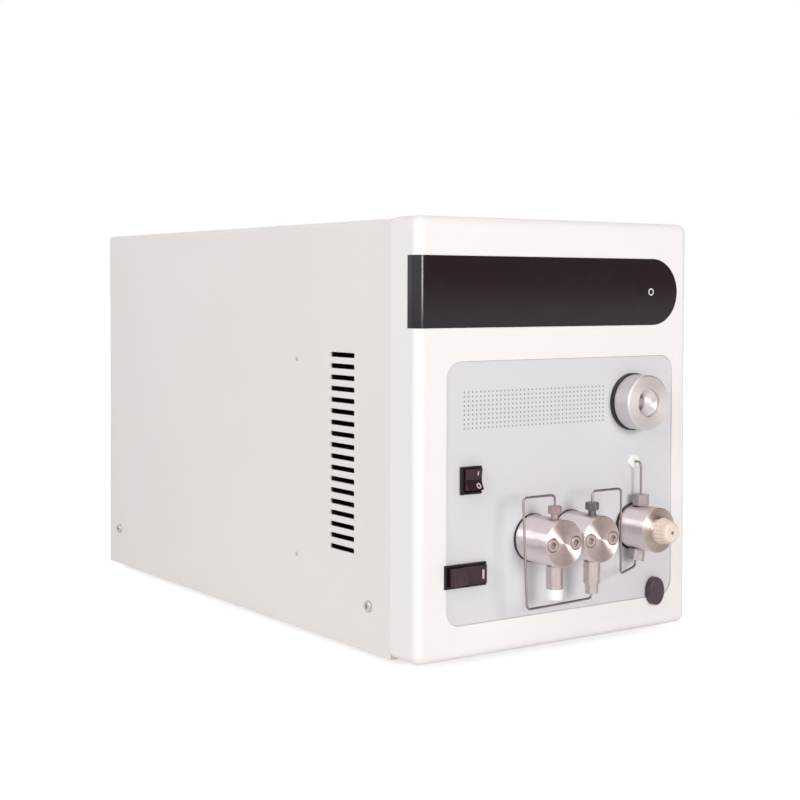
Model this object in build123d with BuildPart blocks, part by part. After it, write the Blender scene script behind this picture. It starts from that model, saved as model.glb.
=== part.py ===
"""Bench-top high-pressure liquid chromatography pump unit.

A sheet-steel case with a moulded bezel carries a twin-head serial pump, a purge valve,
a manual injection valve, two rocker switches and a wrap-round display window.
Units are millimetres. +Z is up, the user's side faces -Y, +X is the user's right.
The origin is the middle of the footprint, on the surface the feet stand on.
Local heights count from the bezel's lower edge and depths from the bezel's front face.
"""

import os

from build123d import *

os.makedirs("parts", exist_ok=True)

# ---------------------------------------------------------------- clearances
running_clearance = 0.05
seat_clearance = 0.02
slot_clearance = 0.15
body_gap = 0.3

# ---------------------------------------------------------------- case
bezel_width = 240.0
bezel_height = 288.0
bezel_depth = 29.5
bezel_wall = 3.0
bezel_front_wall = 5.0
bezel_corner = 6.5
bezel_edge = 6.0
case_depth = 471.0
side_inset = 0.6
top_inset = 1.3
base_drop = 0.9
cover_sheet = 1.2
cover_fold = 3.0
base_sheet = 1.5
lip_height = 45.0
rear_lip_height = 14.0
return_flange = 12.0
foot_height = 5.0
foot_radius = 9.0
foot_flare = 6.0
foot_inset = 40.0
foot_front_depth = 78.0
foot_rear_depth = 425.0
foot_screw_radius = 2.0
foot_screw_head_radius = 3.6
foot_screw_head_height = 2.2
foot_screw_recess = 3.0

# ---------------------------------------------------------------- louvres and cover fixings
louvre_count = 18
louvre_length = 30.0
louvre_height = 3.4
louvre_middle_depth = 88.0
louvre_low = 64.0
louvre_high = 196.0
cover_screw_height = 30.0
cover_screw_depths = (55.0, 450.6)
cover_screw_radius = 2.0
cover_screw_head_radius = 3.8
cover_screw_head_height = 2.0
cover_screw_length = 6.0
rivet_depth = 148.0
rivet_heights = (51.5, 191.0)
rivet_radius = 1.0
rivet_head_radius = 1.6
rivet_head_height = 0.5
cross_width = 0.9
cross_depth = 1.1

# ---------------------------------------------------------------- front plate
plate_left_inset = 24.0
plate_right_inset = 15.5
plate_low = 22.5
plate_high = 194.0
plate_corner = 11.0
plate_recess = 0.8
plate_thickness = 3.0
ledge = 5.0

# ---------------------------------------------------------------- display window
window_top_inset = 25.5
window_span = 46.5
window_right_inset = 11.2
window_wrap = 10.0
window_thickness = 2.0
window_proud = 0.2
lcd_width = 92.0
lcd_height = 24.0
lcd_inset = 82.0
lcd_thickness = 8.0
lcd_rim = 5.0
board_thickness = 1.6
lcd_board_width = 110.0
lcd_board_height = 36.0
status_inset = 36.5
status_ring_outer = 2.6
status_ring_inner = 1.7
status_ring_depth = 1.0

# ---------------------------------------------------------------- pump heads
pump_height = 74.5
primary_x = -23.6
secondary_x = 9.1
head_radius = 15.7
head_front = -32.0
head_edge = 0.5
dimple_rise = 13.3
dimple_radius = 0.9
gasket_radius = 16.2
gasket_thickness = 1.5
gasket_hole_radius = 6.0
valve_depth = -22.0
plunger_radius = 1.6
chamber_front = -25.0
passage_radius = 0.6
seal_radius = 4.0
seal_length = 5.0
head_screw_offset = 9.8
head_screw_radius = 2.5
head_screw_head_radius = 4.25
head_screw_head_height = 5.0
head_screw_proud = 0.4
head_screw_reach = 16.0
hex_socket_width = 4.0
hex_socket_depth = 2.5
counterbore_radius = 4.7

# ---------------------------------------------------------------- check valves and fittings
valve_flats = 10.2
valve_radius = 5.6
valve_length = 15.0
valve_stub_radius = 4.0
valve_stub_length = 7.0
inlet_nut_radius = 5.6
inlet_nut_length = 7.2
inlet_bore_radius = 1.6
tube_fitting_radius = 4.4
tube_fitting_length = 6.8
thumb_nut_radius = 4.6
thumb_nut_length = 5.0
thumb_nut_rise = 3.2
thumb_stem_radius = 2.6
thumb_stub_radius = 3.0
thumb_stub_length = 5.0
grip_count = 16
grip_groove = 0.45

# ---------------------------------------------------------------- purge valve
purge_inset = 36.5
purge_radius = 15.5
purge_front = -25.5
purge_gasket_radius = 16.5
purge_gasket_front = -1.2
purge_port_depth = -7.2
purge_boss_radius = 8.3
purge_boss_front = -28.1
purge_port_tilt = 12.0
purge_knob_rear = -28.7
purge_knob_front = -38.5
purge_knob_rear_radius = 9.2
purge_knob_front_radius = 7.0
purge_knob_edge = 3.0
purge_stem_radius = 4.0
purge_stem_end = -12.5
drain_bore_radius = 1.25
drain_bore_length = 18.0
knob_flute_count = 18
knob_flute_radius = 0.7
port_nut_flats = 10.0
port_nut_length = 7.6
port_stub_radius = 3.0
port_stub_length = 5.0

# ---------------------------------------------------------------- injection valve
injector_inset = 38.7
injector_height = 162.3
injector_ring_radius = 20.0
injector_ring_front = -2.4
injector_knob_radius = 19.2
injector_knob_front = -17.0
injector_knob_edge = 0.9
needle_port_radius = 9.8
needle_port_front = -15.2
needle_port_end = 30.0
needle_rim = 0.9
needle_funnel_depth = 7.5
needle_bore_radius = 4.85
needle_bore_length = 20.0
injector_sleeve_radius = 12.6
injector_sleeve_end = 14.0
injector_hole_radius = 13.4
injector_valve_radius = 22.0
injector_valve_end = 46.0
injector_port_radius = 1.6
injector_port_circle = 13.0
injector_port_count = 6

# ---------------------------------------------------------------- capillaries
tube_radius = 0.795
tube_bore_clearance = 0.05
tube_bend = 3.2
primary_tube_left = 26.9
primary_tube_lean = -0.65
primary_tube_forward = 5.0
tube_crest = 105.7
primary_tube_low = 33.8
secondary_tube_right = 26.3
secondary_tube_low = 47.5
tube_seat = 12.0
outlet_height = 120.2
outlet_tube_end = 14.0
grommet_radius = 4.9
grommet_proud = 2.2
grommet_neck_radius = 3.0

# ---------------------------------------------------------------- switches
upper_switch_inset = 19.3
upper_switch_height = 116.8
upper_frame_width = 16.6
upper_frame_height = 18.2
power_switch_inset = 14.8
power_switch_height = 55.2
power_frame_width = 33.4
power_frame_height = 15.4
frame_proud = 2.0
frame_rim = 1.5
frame_edge = 0.6
switch_body_depth = 22.0
frame_lip = 0.6
rocker_play = 0.7
rocker_side_play = 0.3
rocker_rise = 3.4
rocker_valley = 1.0
rocker_root = 3.5
rocker_shoulder = 1.0
rocker_tilt = 6.0
rocker_pivot_depth = 3.0
rocker_pin_radius = 1.2
cavity_depth = 10.0
terminal_width = 4.8
terminal_thickness = 0.8
terminal_length = 8.0

# ---------------------------------------------------------------- blanking plug
plug_inset = 17.5
plug_height = 26.7
plug_half_width = 7.2
plug_half_height = 10.0
plug_proud = 5.0
plug_edge = 1.4
plug_shank_radius = 2.4
plug_shank_end = 9.0

# ---------------------------------------------------------------- pump drive
drive_side_margin = 18.0
drive_low = 56.0
drive_high = 93.0
drive_end = 110.0
carrier_radius = 5.0
carrier_front = 22.0
carrier_length = 40.0
plunger_stroke = 4.0
motor_width = 56.4
motor_corner = 5.0
motor_length = 76.0
motor_cap_length = 16.0
motor_core_width = 53.0
bracket_front = 36.0
bracket_end = 100.0
bracket_sheet = 2.0
bracket_flange = 12.0

# ---------------------------------------------------------------- electrics
supply_width = 97.0
supply_length = 158.0
supply_height = 38.0
supply_side_margin = 13.5
supply_rear = 440.0
supply_vent_columns = 4
supply_vent_rows = 6
board_length = 150.0
board_side_margin = 12.0
board_supply_margin = 17.5
board_middle_depth = 270.0
standoff_height = 8.0
standoff_radius = 3.0
standoff_inset = 6.0
chip_width = 14.0
chip_height = 2.0
chip_spacing = 34.0
capacitor_radius = 6.0
capacitor_height = 18.0
capacitor_spacing = 16.0
sensor_width = 22.0
sensor_height = 24.0
sensor_end = 40.0
sensor_rise = 4.5

# ---------------------------------------------------------------- rear
fan_size = 80.0
fan_depth = 25.0
fan_height = 205.0
fan_bore_radius = 37.5
fan_hub_radius = 17.0
fan_blade_radius = 36.3
fan_blade_count = 7
fan_blade_thickness = 1.6
fan_blade_chord = 24.0
fan_blade_angle = 38.0
fan_hole_spacing = 71.5
fan_screw_radius = 2.0
fan_spindle_radius = 2.5
fan_motor_thickness = 4.0
vent_hole_radius = 3.4
vent_ring_spacing = 10.5
vent_ring_holes = 6
vent_ring_count = 3
rear_proud = 2.0
rear_screw_radius = 1.5
rear_screw_head_radius = 3.0
rear_screw_head_height = 1.6
rear_screw_length = 8.0
rear_screw_inset = 20.0
rear_screw_low = 7.0
inlet_height = 90.0
inlet_flange_width = 50.0
inlet_flange_height = 26.0
inlet_body_width = 29.0
inlet_body_height = 21.4
inlet_body_depth = 22.0
socket_width = 23.6
socket_height = 16.6
socket_corner = 3.5
socket_depth = 16.0
pin_thickness = 2.0
pin_width = 4.0
pin_length = 14.0
pin_spread = 7.0
pin_offset = 2.0
inlet_screw_spacing = 40.0
inlet_screw_head_radius = 2.8
bezel_screw_inset = 20.0
bezel_screw_low = 10.0
bezel_screw_length = 12.0
boss_radius = 5.0

# ---------------------------------------------------------------- derived
knob_reach = -purge_knob_front
front_face = knob_reach - (knob_reach + case_depth + rear_proud) / 2
deck = foot_height + base_drop
bezel_half = bezel_width / 2
plate_left = plate_left_inset - bezel_half
plate_right = bezel_half - plate_right_inset
window_right = bezel_half - window_right_inset
lcd_middle_x = lcd_inset - bezel_half
status_x = bezel_half - status_inset
foot_offset_x = bezel_half - foot_inset
upper_switch_x = plate_left + upper_switch_inset
power_switch_x = plate_left + power_switch_inset
purge_x = plate_right - purge_inset
injector_x = plate_right - injector_inset
plug_x = plate_right - plug_inset
supply_x = supply_side_margin + supply_width / 2 - bezel_half
fan_x = supply_x
inlet_x = supply_x
board_room = bezel_width - supply_side_margin - supply_width
board_width = board_room - board_supply_margin - board_side_margin
board_x = bezel_half - board_side_margin - board_width / 2
rear_screw_x = bezel_half - rear_screw_inset
bezel_screw_x = bezel_half - bezel_screw_inset
case_half = bezel_half - side_inset
case_top = bezel_height - top_inset
cover_length = case_depth - bezel_depth
pan_half = case_half - cover_sheet
panel_front = case_depth - base_sheet
plate_back = plate_recess + plate_thickness
floor_top = base_sheet - base_drop
head_rear = plate_recess - gasket_thickness
head_centres = (primary_x, secondary_x)
window_high = bezel_height - window_top_inset
window_low = window_high - window_span
window_middle = (window_low + window_high) / 2
window_end_radius = window_span / 2
thumb_nut_low = pump_height + head_radius + thumb_nut_rise
drive_left = primary_x - drive_side_margin
drive_right = secondary_x + drive_side_margin
drive_middle = (drive_left + drive_right) / 2
tube_bore_radius = tube_radius + tube_bore_clearance
panel_high = case_top - cover_sheet
bezel_low_spots = ((-bezel_screw_x, bezel_screw_low), (bezel_screw_x, bezel_screw_low))
bezel_high_spots = (
    (-bezel_screw_x, panel_high - rear_screw_low),
    (bezel_screw_x, panel_high - rear_screw_low),
)
bezel_spots = bezel_low_spots + bezel_high_spots


def face(depth):
    """Plane parallel to the front at a depth; local x, y are X and height, +z is outward."""
    return Plane(origin=(0, front_face + depth, deck), x_dir=(1, 0, 0), z_dir=(0, -1, 0))


def level(height):
    """Horizontal plane at a height; local x, y are X and depth."""
    return Plane(origin=(0, front_face, deck + height), x_dir=(1, 0, 0), z_dir=(0, 0, 1))


def side(offset):
    """Upright plane parallel to the case's sides; local x, y are depth and height."""
    return Plane(origin=(offset, front_face, deck), x_dir=(0, 1, 0), z_dir=(1, 0, 0))


def point(x, depth, height):
    """Point from local X, depth and height."""
    return (x, front_face + depth, deck + height)


def bar(depth, centres, radius, length):
    """Cylinders that start on face(depth) at the centres and run outward, towards the user."""
    with BuildPart() as rods:
        with BuildSketch(face(depth)):
            with Locations(*centres):
                Circle(radius)
        extrude(amount=length)
    return rods.part


def bore(depth, centres, radius, length):
    """Cylinders to cut away that start on face(depth) and run inward, away from the user."""
    return bar(depth, centres, radius, -length)


def cone(spot, near_depth, near_radius, far_depth, far_radius):
    """Cone between two circles on planes parallel to the front."""
    with BuildPart() as taper:
        for depth, radius in ((near_depth, near_radius), (far_depth, far_radius)):
            with BuildSketch(face(depth)):
                with Locations(spot):
                    Circle(radius)
        loft()
    return taper.part


def stem(centre, depth, low, radius, length):
    """Upright cylinder at a spot in plan, from a height upward."""
    with BuildPart() as rod:
        with BuildSketch(level(low)):
            with Locations((centre, depth)):
                Circle(radius)
        extrude(amount=length)
    return rod.part


def hex_prism(centre, depth, low, flats, length):
    """Upright hexagon prism with one edge to the front."""
    with BuildPart() as prism:
        with BuildSketch(level(low)):
            with Locations((centre, depth)):
                RegularPolygon(flats / 2, 6, major_radius=False, rotation=30)
        extrude(amount=length)
    return prism.part


def corners(left, right, low, high):
    """The four corners of a rectangle."""
    return ((left, low), (right, low), (left, high), (right, high))


foot_spots = corners(-foot_offset_x, foot_offset_x, foot_front_depth, foot_rear_depth)

# ================================================================ feet
with BuildPart() as feet:
    with BuildSketch(level(-deck)):
        with Locations(*foot_spots):
            Circle(foot_radius)
    extrude(amount=foot_height, taper=-foot_flare)
    with BuildSketch(level(-deck)):
        with Locations(*foot_spots):
            Circle(foot_screw_head_radius + slot_clearance)
    extrude(amount=foot_screw_recess, mode=Mode.SUBTRACT)
    with BuildSketch(level(-deck)):
        with Locations(*foot_spots):
            Circle(foot_screw_radius + slot_clearance)
    extrude(amount=foot_height, mode=Mode.SUBTRACT)

with BuildPart() as foot_screws:
    with BuildSketch(level(foot_screw_recess - deck)):
        with Locations(*foot_spots):
            Circle(foot_screw_head_radius)
    extrude(amount=-foot_screw_head_height)
    with BuildSketch(level(foot_screw_recess - deck)):
        with Locations(*foot_spots):
            Circle(foot_screw_radius)
    extrude(amount=foot_height - foot_screw_recess + base_sheet)

# ================================================================ base pan
pan_length = panel_front - bezel_depth
pan_middle_depth = bezel_depth + pan_length / 2
with BuildPart() as base_pan:
    with BuildSketch(level(-base_drop)):
        with Locations((0, pan_middle_depth)):
            Rectangle(2 * pan_half, pan_length)
    extrude(amount=lip_height)
    with BuildSketch(level(floor_top)):
        with Locations((0, pan_middle_depth)):
            Rectangle(2 * (pan_half - base_sheet), pan_length - 2 * base_sheet)
    extrude(amount=lip_height, mode=Mode.SUBTRACT)
    with BuildSketch(face(panel_front)):
        with Locations((0, rear_lip_height)):
            Rectangle(2 * (pan_half - base_sheet), lip_height, align=(Align.CENTER, Align.MIN))
    extrude(amount=base_sheet, mode=Mode.SUBTRACT)
    with BuildSketch(level(-base_drop)):
        with Locations(*foot_spots):
            Circle(foot_screw_radius + seat_clearance)
    extrude(amount=base_sheet, mode=Mode.SUBTRACT)
    with BuildSketch(side(-pan_half)):
        with Locations(*[(depth, cover_screw_height) for depth in cover_screw_depths]):
            Circle(cover_screw_radius + seat_clearance)
    extrude(amount=2 * pan_half, mode=Mode.SUBTRACT)
    add(
        bore(
            panel_front - base_sheet,
            [(-rear_screw_x, rear_screw_low), (rear_screw_x, rear_screw_low)],
            rear_screw_radius + seat_clearance,
            base_sheet,
        ),
        mode=Mode.SUBTRACT,
    )
    add(
        bore(bezel_depth, bezel_low_spots, rear_screw_radius + seat_clearance, base_sheet),
        mode=Mode.SUBTRACT,
    )

# ================================================================ top cover
louvre_pitch = (louvre_high - louvre_low) / (louvre_count - 1)
cover_height = case_top + base_drop
rivet_spots = [(rivet_depth, height) for height in rivet_heights]
cover_screw_spots = [(depth, cover_screw_height) for depth in cover_screw_depths]

with BuildPart() as top_cover:
    with BuildSketch(face(bezel_depth)):
        with Locations((0, -base_drop)):
            outer = Rectangle(2 * case_half, cover_height, align=(Align.CENTER, Align.MIN))
        fillet(outer.vertices().group_by(Axis.Y)[-1], cover_fold)
    extrude(amount=-cover_length)
    with BuildSketch(face(bezel_depth)):
        with Locations((0, -base_drop)):
            inner = Rectangle(
                2 * pan_half, cover_height - cover_sheet, align=(Align.CENTER, Align.MIN)
            )
        fillet(inner.vertices().group_by(Axis.Y)[-1], cover_fold - cover_sheet)
    extrude(amount=-cover_length, mode=Mode.SUBTRACT)
    for flange_depth in (bezel_depth + cover_sheet, panel_front):
        with BuildSketch(face(flange_depth)):
            with Locations((0, case_top - cover_sheet)):
                Rectangle(
                    2 * (pan_half - cover_fold), return_flange, align=(Align.CENTER, Align.MAX)
                )
        extrude(amount=cover_sheet)
    with BuildSketch(side(-case_half)):
        with Locations((louvre_middle_depth, (louvre_low + louvre_high) / 2)):
            with GridLocations(louvre_length, louvre_pitch, 1, louvre_count):
                RectangleRounded(louvre_length, louvre_height, louvre_height / 3)
        with Locations(*rivet_spots):
            Circle(rivet_radius + seat_clearance)
        with Locations(*cover_screw_spots):
            Circle(cover_screw_radius + slot_clearance)
    extrude(amount=2 * case_half, mode=Mode.SUBTRACT)
    add(
        bore(
            panel_front - cover_sheet,
            [
                (-rear_screw_x, panel_high - rear_screw_low),
                (rear_screw_x, panel_high - rear_screw_low),
            ],
            rear_screw_radius + seat_clearance,
            cover_sheet,
        ),
        mode=Mode.SUBTRACT,
    )
    add(
        bore(bezel_depth, bezel_high_spots, rear_screw_radius + seat_clearance, cover_sheet),
        mode=Mode.SUBTRACT,
    )

with BuildPart() as cover_screws:
    for direction in (-1, 1):
        with BuildSketch(side(direction * case_half)):
            with Locations(*cover_screw_spots):
                Circle(cover_screw_head_radius)
        extrude(amount=direction * cover_screw_head_height)
        fillet(
            cover_screws.faces().sort_by(Axis.X)[:: -direction][:2].edges(),
            cover_screw_head_height / 2,
        )
        with BuildSketch(side(direction * case_half)):
            with Locations(*cover_screw_spots):
                Circle(cover_screw_radius)
        extrude(amount=-direction * cover_screw_length)
        with BuildSketch(side(direction * (case_half + cover_screw_head_height))):
            with Locations(*cover_screw_spots):
                Rectangle(cover_screw_head_radius, cross_width)
                Rectangle(cross_width, cover_screw_head_radius)
        extrude(amount=-direction * cross_depth, mode=Mode.SUBTRACT)

with BuildPart() as cover_rivets:
    for direction in (-1, 1):
        with BuildSketch(side(direction * case_half)):
            with Locations(*rivet_spots):
                Circle(rivet_head_radius)
        extrude(amount=direction * rivet_head_height, taper=20)
        with BuildSketch(side(direction * case_half)):
            with Locations(*rivet_spots):
                Circle(rivet_radius)
        extrude(amount=-direction * cover_sheet)


def window_block(clearance, proud, thickness):
    """Skin of the display window, wrapped round the left edge, with a rounded right end."""
    left = -bezel_width / 2
    right = window_right + clearance
    wrap = window_wrap + clearance
    with BuildPart() as block:
        with BuildSketch(level(window_low - clearance)):
            with Locations((left - proud, -proud)):
                skin = Rectangle(right - left + proud, wrap + proud, align=(Align.MIN, Align.MIN))
            front_left = skin.vertices().group_by(Axis.Y)[0].sort_by(Axis.X)[0]
            fillet(front_left, bezel_edge + proud)
            with BuildSketch(mode=Mode.PRIVATE) as hollow:
                with Locations((left + thickness, thickness)):
                    core = Rectangle(right - left, wrap, align=(Align.MIN, Align.MIN))
                fillet(core.vertices().group_by(Axis.Y)[0].sort_by(Axis.X)[0], bezel_edge - thickness)
            add(hollow.sketch, mode=Mode.SUBTRACT)
        extrude(amount=window_span + 2 * clearance)
        with BuildSketch(face(window_wrap + clearance)):
            with Locations((window_right - window_end_radius, window_middle)):
                Circle(window_end_radius + clearance)
                Rectangle(
                    bezel_width,
                    window_span + 2 * clearance,
                    align=(Align.MAX, Align.CENTER),
                )
        extrude(amount=window_wrap + clearance + bezel_edge, mode=Mode.INTERSECT)
    return block.part


# ================================================================ bezel
plate_width = plate_right - plate_left
plate_height = plate_high - plate_low
plate_centre = ((plate_left + plate_right) / 2, (plate_low + plate_high) / 2)
lcd_spot = (lcd_middle_x, window_middle)
upper_switch_spot = (upper_switch_x, upper_switch_height)
power_switch_spot = (power_switch_x, power_switch_height)
plug_spot = (plug_x, plug_height)
switch_shapes = (
    (upper_switch_spot, upper_frame_width, upper_frame_height),
    (power_switch_spot, power_frame_width, power_frame_height),
)
with BuildPart() as front_bezel:
    with BuildSketch(face(bezel_depth)):
        with Locations((0, bezel_height / 2)):
            RectangleRounded(bezel_width, bezel_height, bezel_corner)
    extrude(amount=bezel_depth)
    fillet(front_bezel.faces().sort_by(Axis.Y)[0].edges(), bezel_edge)
    with BuildSketch(face(bezel_depth)):
        with Locations((0, bezel_height / 2)):
            RectangleRounded(
                bezel_width - 2 * bezel_wall, bezel_height - 2 * bezel_wall, bezel_corner - bezel_wall
            )
    extrude(amount=bezel_depth - bezel_front_wall, mode=Mode.SUBTRACT)
    add(bar(bezel_depth, bezel_spots, boss_radius, bezel_depth - bezel_front_wall))
    boss_hole = bezel_screw_length - cover_sheet + body_gap
    add(
        bar(bezel_depth, bezel_spots, rear_screw_radius + seat_clearance, boss_hole),
        mode=Mode.SUBTRACT,
    )
    with BuildSketch(face(plate_back)):
        with Locations(plate_centre):
            RectangleRounded(
                plate_width + 2 * slot_clearance,
                plate_height + 2 * slot_clearance,
                plate_corner + slot_clearance,
            )
    extrude(amount=plate_back, mode=Mode.SUBTRACT)
    with BuildSketch(face(bezel_front_wall)):
        with Locations(plate_centre):
            RectangleRounded(plate_width - 2 * ledge, plate_height - 2 * ledge, plate_corner - ledge)
    extrude(amount=bezel_front_wall, mode=Mode.SUBTRACT)
    with BuildSketch(face(bezel_front_wall)):
        with Locations(lcd_spot):
            Rectangle(lcd_width - 2 * lcd_rim, lcd_height - lcd_rim)
        for spot, frame_width, frame_height in switch_shapes:
            with Locations(spot):
                Rectangle(
                    frame_width - 2 * frame_lip + 2 * slot_clearance,
                    frame_height - 2 * frame_lip + 2 * slot_clearance,
                )
        with Locations(plug_spot):
            Circle(plug_shank_radius + slot_clearance)
    extrude(amount=bezel_front_wall, mode=Mode.SUBTRACT)
    add(
        window_block(slot_clearance, bezel_edge, window_thickness - window_proud),
        mode=Mode.SUBTRACT,
    )

with BuildPart() as display_window:
    add(window_block(0, window_proud, window_thickness - window_proud))
    with BuildSketch(face(status_ring_depth - window_proud)):
        with Locations((status_x, window_middle)):
            Circle(status_ring_outer + seat_clearance)
            Circle(status_ring_inner - seat_clearance, mode=Mode.SUBTRACT)
    extrude(amount=status_ring_depth, mode=Mode.SUBTRACT)

with BuildPart() as status_ring:
    with BuildSketch(face(status_ring_depth - window_proud)):
        with Locations((status_x, window_middle)):
            Circle(status_ring_outer)
            Circle(status_ring_inner, mode=Mode.SUBTRACT)
    extrude(amount=status_ring_depth)

with BuildPart() as lcd_module:
    with BuildSketch(face(bezel_front_wall + lcd_thickness)):
        with Locations(lcd_spot):
            Rectangle(lcd_width, lcd_height)
    extrude(amount=lcd_thickness)
    chamfer(lcd_module.faces().sort_by(Axis.Y)[0].edges(), frame_edge)
    with BuildSketch(face(bezel_front_wall + lcd_thickness + board_thickness)):
        with Locations(lcd_spot):
            Rectangle(lcd_board_width, lcd_board_height)
            with GridLocations(
                lcd_board_width - standoff_inset, lcd_board_height - standoff_inset, 2, 2
            ):
                Circle(rear_screw_radius, mode=Mode.SUBTRACT)
    extrude(amount=board_thickness)


# ================================================================ front plate
head_screw_spots = [
    (centre + direction * head_screw_offset, pump_height)
    for centre in head_centres
    for direction in (-1, 1)
]
purge_spot = (purge_x, pump_height)
injector_spot = (injector_x, injector_height)
grommet_spot = (purge_x, outlet_height)
with BuildPart() as front_plate:
    with BuildSketch(face(plate_back)):
        with Locations(plate_centre):
            RectangleRounded(plate_width, plate_height, plate_corner)
        with Locations(*[(centre, pump_height) for centre in head_centres]):
            Circle(gasket_hole_radius, mode=Mode.SUBTRACT)
        with Locations(*head_screw_spots):
            Circle(head_screw_radius + slot_clearance, mode=Mode.SUBTRACT)
        with Locations(injector_spot):
            Circle(injector_hole_radius, mode=Mode.SUBTRACT)
        with Locations(grommet_spot):
            Circle(grommet_neck_radius + seat_clearance, mode=Mode.SUBTRACT)
        with Locations(plug_spot):
            Circle(plug_shank_radius + seat_clearance, mode=Mode.SUBTRACT)
        for spot, frame_width, frame_height in switch_shapes:
            with Locations(spot):
                Rectangle(
                    frame_width - 2 * frame_lip + 2 * slot_clearance,
                    frame_height - 2 * frame_lip + 2 * slot_clearance,
                    mode=Mode.SUBTRACT,
                )
    extrude(amount=plate_thickness)

# ================================================================ pump heads
with BuildPart() as head_gaskets:
    with BuildSketch(face(plate_recess)):
        with Locations(*[(centre, pump_height) for centre in head_centres]):
            Circle(gasket_radius)
            Circle(gasket_hole_radius, mode=Mode.SUBTRACT)
        with Locations(*head_screw_spots):
            Circle(head_screw_radius + slot_clearance, mode=Mode.SUBTRACT)
    extrude(amount=gasket_thickness)


def head_block(centre):
    """Turned pump head with its chamber, seal pocket, port seats and screw holes."""
    spot = (centre, pump_height)
    screws = [(centre - head_screw_offset, pump_height), (centre + head_screw_offset, pump_height)]
    with BuildPart() as block:
        add(bar(head_rear, [spot], head_radius, head_rear - head_front))
        chamfer(block.faces().sort_by(Axis.Y)[0].edges(), head_edge)
        add(
            bore(
                head_front, screws, counterbore_radius, head_screw_head_height - head_screw_proud
            ),
            mode=Mode.SUBTRACT,
        )
        add(
            bore(head_front, screws, head_screw_radius + slot_clearance, head_rear - head_front),
            mode=Mode.SUBTRACT,
        )
        add(
            bore(head_front, [(centre, pump_height + dimple_rise)], dimple_radius, dimple_radius),
            mode=Mode.SUBTRACT,
        )
        add(
            bore(
                chamber_front,
                [spot],
                plunger_radius + running_clearance,
                head_rear - chamber_front,
            ),
            mode=Mode.SUBTRACT,
        )
        add(
            bore(head_rear - seal_length, [spot], seal_radius + seat_clearance, seal_length),
            mode=Mode.SUBTRACT,
        )
        with BuildSketch(level(pump_height - head_radius)):
            with Locations((centre, valve_depth)):
                Circle(passage_radius)
        extrude(amount=2 * head_radius, mode=Mode.SUBTRACT)
        with BuildSketch(level(pump_height - head_radius)):
            with Locations((centre, valve_depth)):
                Circle(valve_stub_radius + seat_clearance)
        extrude(amount=valve_stub_length, mode=Mode.SUBTRACT)
        with BuildSketch(level(pump_height + head_radius)):
            with Locations((centre, valve_depth)):
                Circle(thumb_stub_radius + seat_clearance)
        extrude(amount=-thumb_stub_length, mode=Mode.SUBTRACT)
    return block.part


with BuildPart() as primary_head:
    add(head_block(primary_x))

with BuildPart() as secondary_head:
    add(head_block(secondary_x))

with BuildPart() as head_screws:
    screw_seat = head_front - head_screw_proud + head_screw_head_height
    add(bar(screw_seat, head_screw_spots, head_screw_head_radius, head_screw_head_height))
    chamfer(head_screws.faces().group_by(Axis.Y)[0].edges(), head_screw_proud)
    add(bar(head_screw_reach, head_screw_spots, head_screw_radius, head_screw_reach - screw_seat))
    with BuildSketch(face(screw_seat - head_screw_head_height)):
        with Locations(*head_screw_spots):
            RegularPolygon(hex_socket_width / 2, 6, major_radius=False)
    extrude(amount=-hex_socket_depth, mode=Mode.SUBTRACT)

with BuildPart() as plunger_seals:
    with BuildSketch(face(head_rear)):
        with Locations(*[(centre, pump_height) for centre in head_centres]):
            Circle(seal_radius)
            Circle(plunger_radius + running_clearance, mode=Mode.SUBTRACT)
    extrude(amount=seal_length)


def plunger_rod(centre):
    """Ceramic rod on a steel carrier that slides in the drive housing."""
    spot = (centre, pump_height)
    with BuildPart() as rod:
        add(bar(carrier_front + carrier_length, [spot], carrier_radius, carrier_length))
        chamfer(rod.edges().filter_by(GeomType.CIRCLE), head_edge)
        add(
            bar(
                carrier_front,
                [spot],
                plunger_radius,
                carrier_front - valve_depth - plunger_stroke,
            ),
        )
    return rod.part


with BuildPart() as primary_plunger:
    add(plunger_rod(primary_x))

with BuildPart() as secondary_plunger:
    add(plunger_rod(secondary_x))


# ================================================================ valves and fittings
def check_valve(centre):
    """Check-valve cartridge body with a threaded stub, below a pump head."""
    top = pump_height - head_radius
    with BuildPart() as valve:
        add(hex_prism(centre, valve_depth, top - valve_length, valve_flats, valve_length))
        with BuildSketch(level(top - valve_length)):
            with Locations((centre, valve_depth)):
                Circle(valve_radius)
        extrude(amount=valve_length, mode=Mode.INTERSECT)
        add(stem(centre, valve_depth, top, valve_stub_radius, valve_stub_length))
        add(
            stem(
                centre,
                valve_depth,
                top - valve_length,
                tube_bore_radius,
                valve_length + valve_stub_length,
            ),
            mode=Mode.SUBTRACT,
        )
    return valve.part


with BuildPart() as inlet_valve:
    add(check_valve(primary_x))

with BuildPart() as transfer_valve:
    add(check_valve(secondary_x))

valve_foot = pump_height - head_radius - valve_length
with BuildPart() as inlet_nut:
    add(
        stem(
            primary_x,
            valve_depth,
            valve_foot - inlet_nut_length,
            inlet_nut_radius,
            inlet_nut_length,
        ),
    )
    chamfer(inlet_nut.edges().group_by(Axis.Z)[0], head_edge)
    add(
        stem(
            primary_x,
            valve_depth,
            valve_foot - inlet_nut_length,
            inlet_bore_radius,
            inlet_nut_length,
        ),
        mode=Mode.SUBTRACT,
    )

with BuildPart() as transfer_fitting:
    add(
        hex_prism(
            secondary_x,
            valve_depth,
            valve_foot - tube_fitting_length,
            2 * tube_fitting_radius - 2 * head_edge,
            tube_fitting_length,
        ),
    )
    add(
        stem(
            secondary_x,
            valve_depth,
            valve_foot - tube_fitting_length,
            tube_bore_radius,
            tube_fitting_length,
        ),
        mode=Mode.SUBTRACT,
    )


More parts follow.
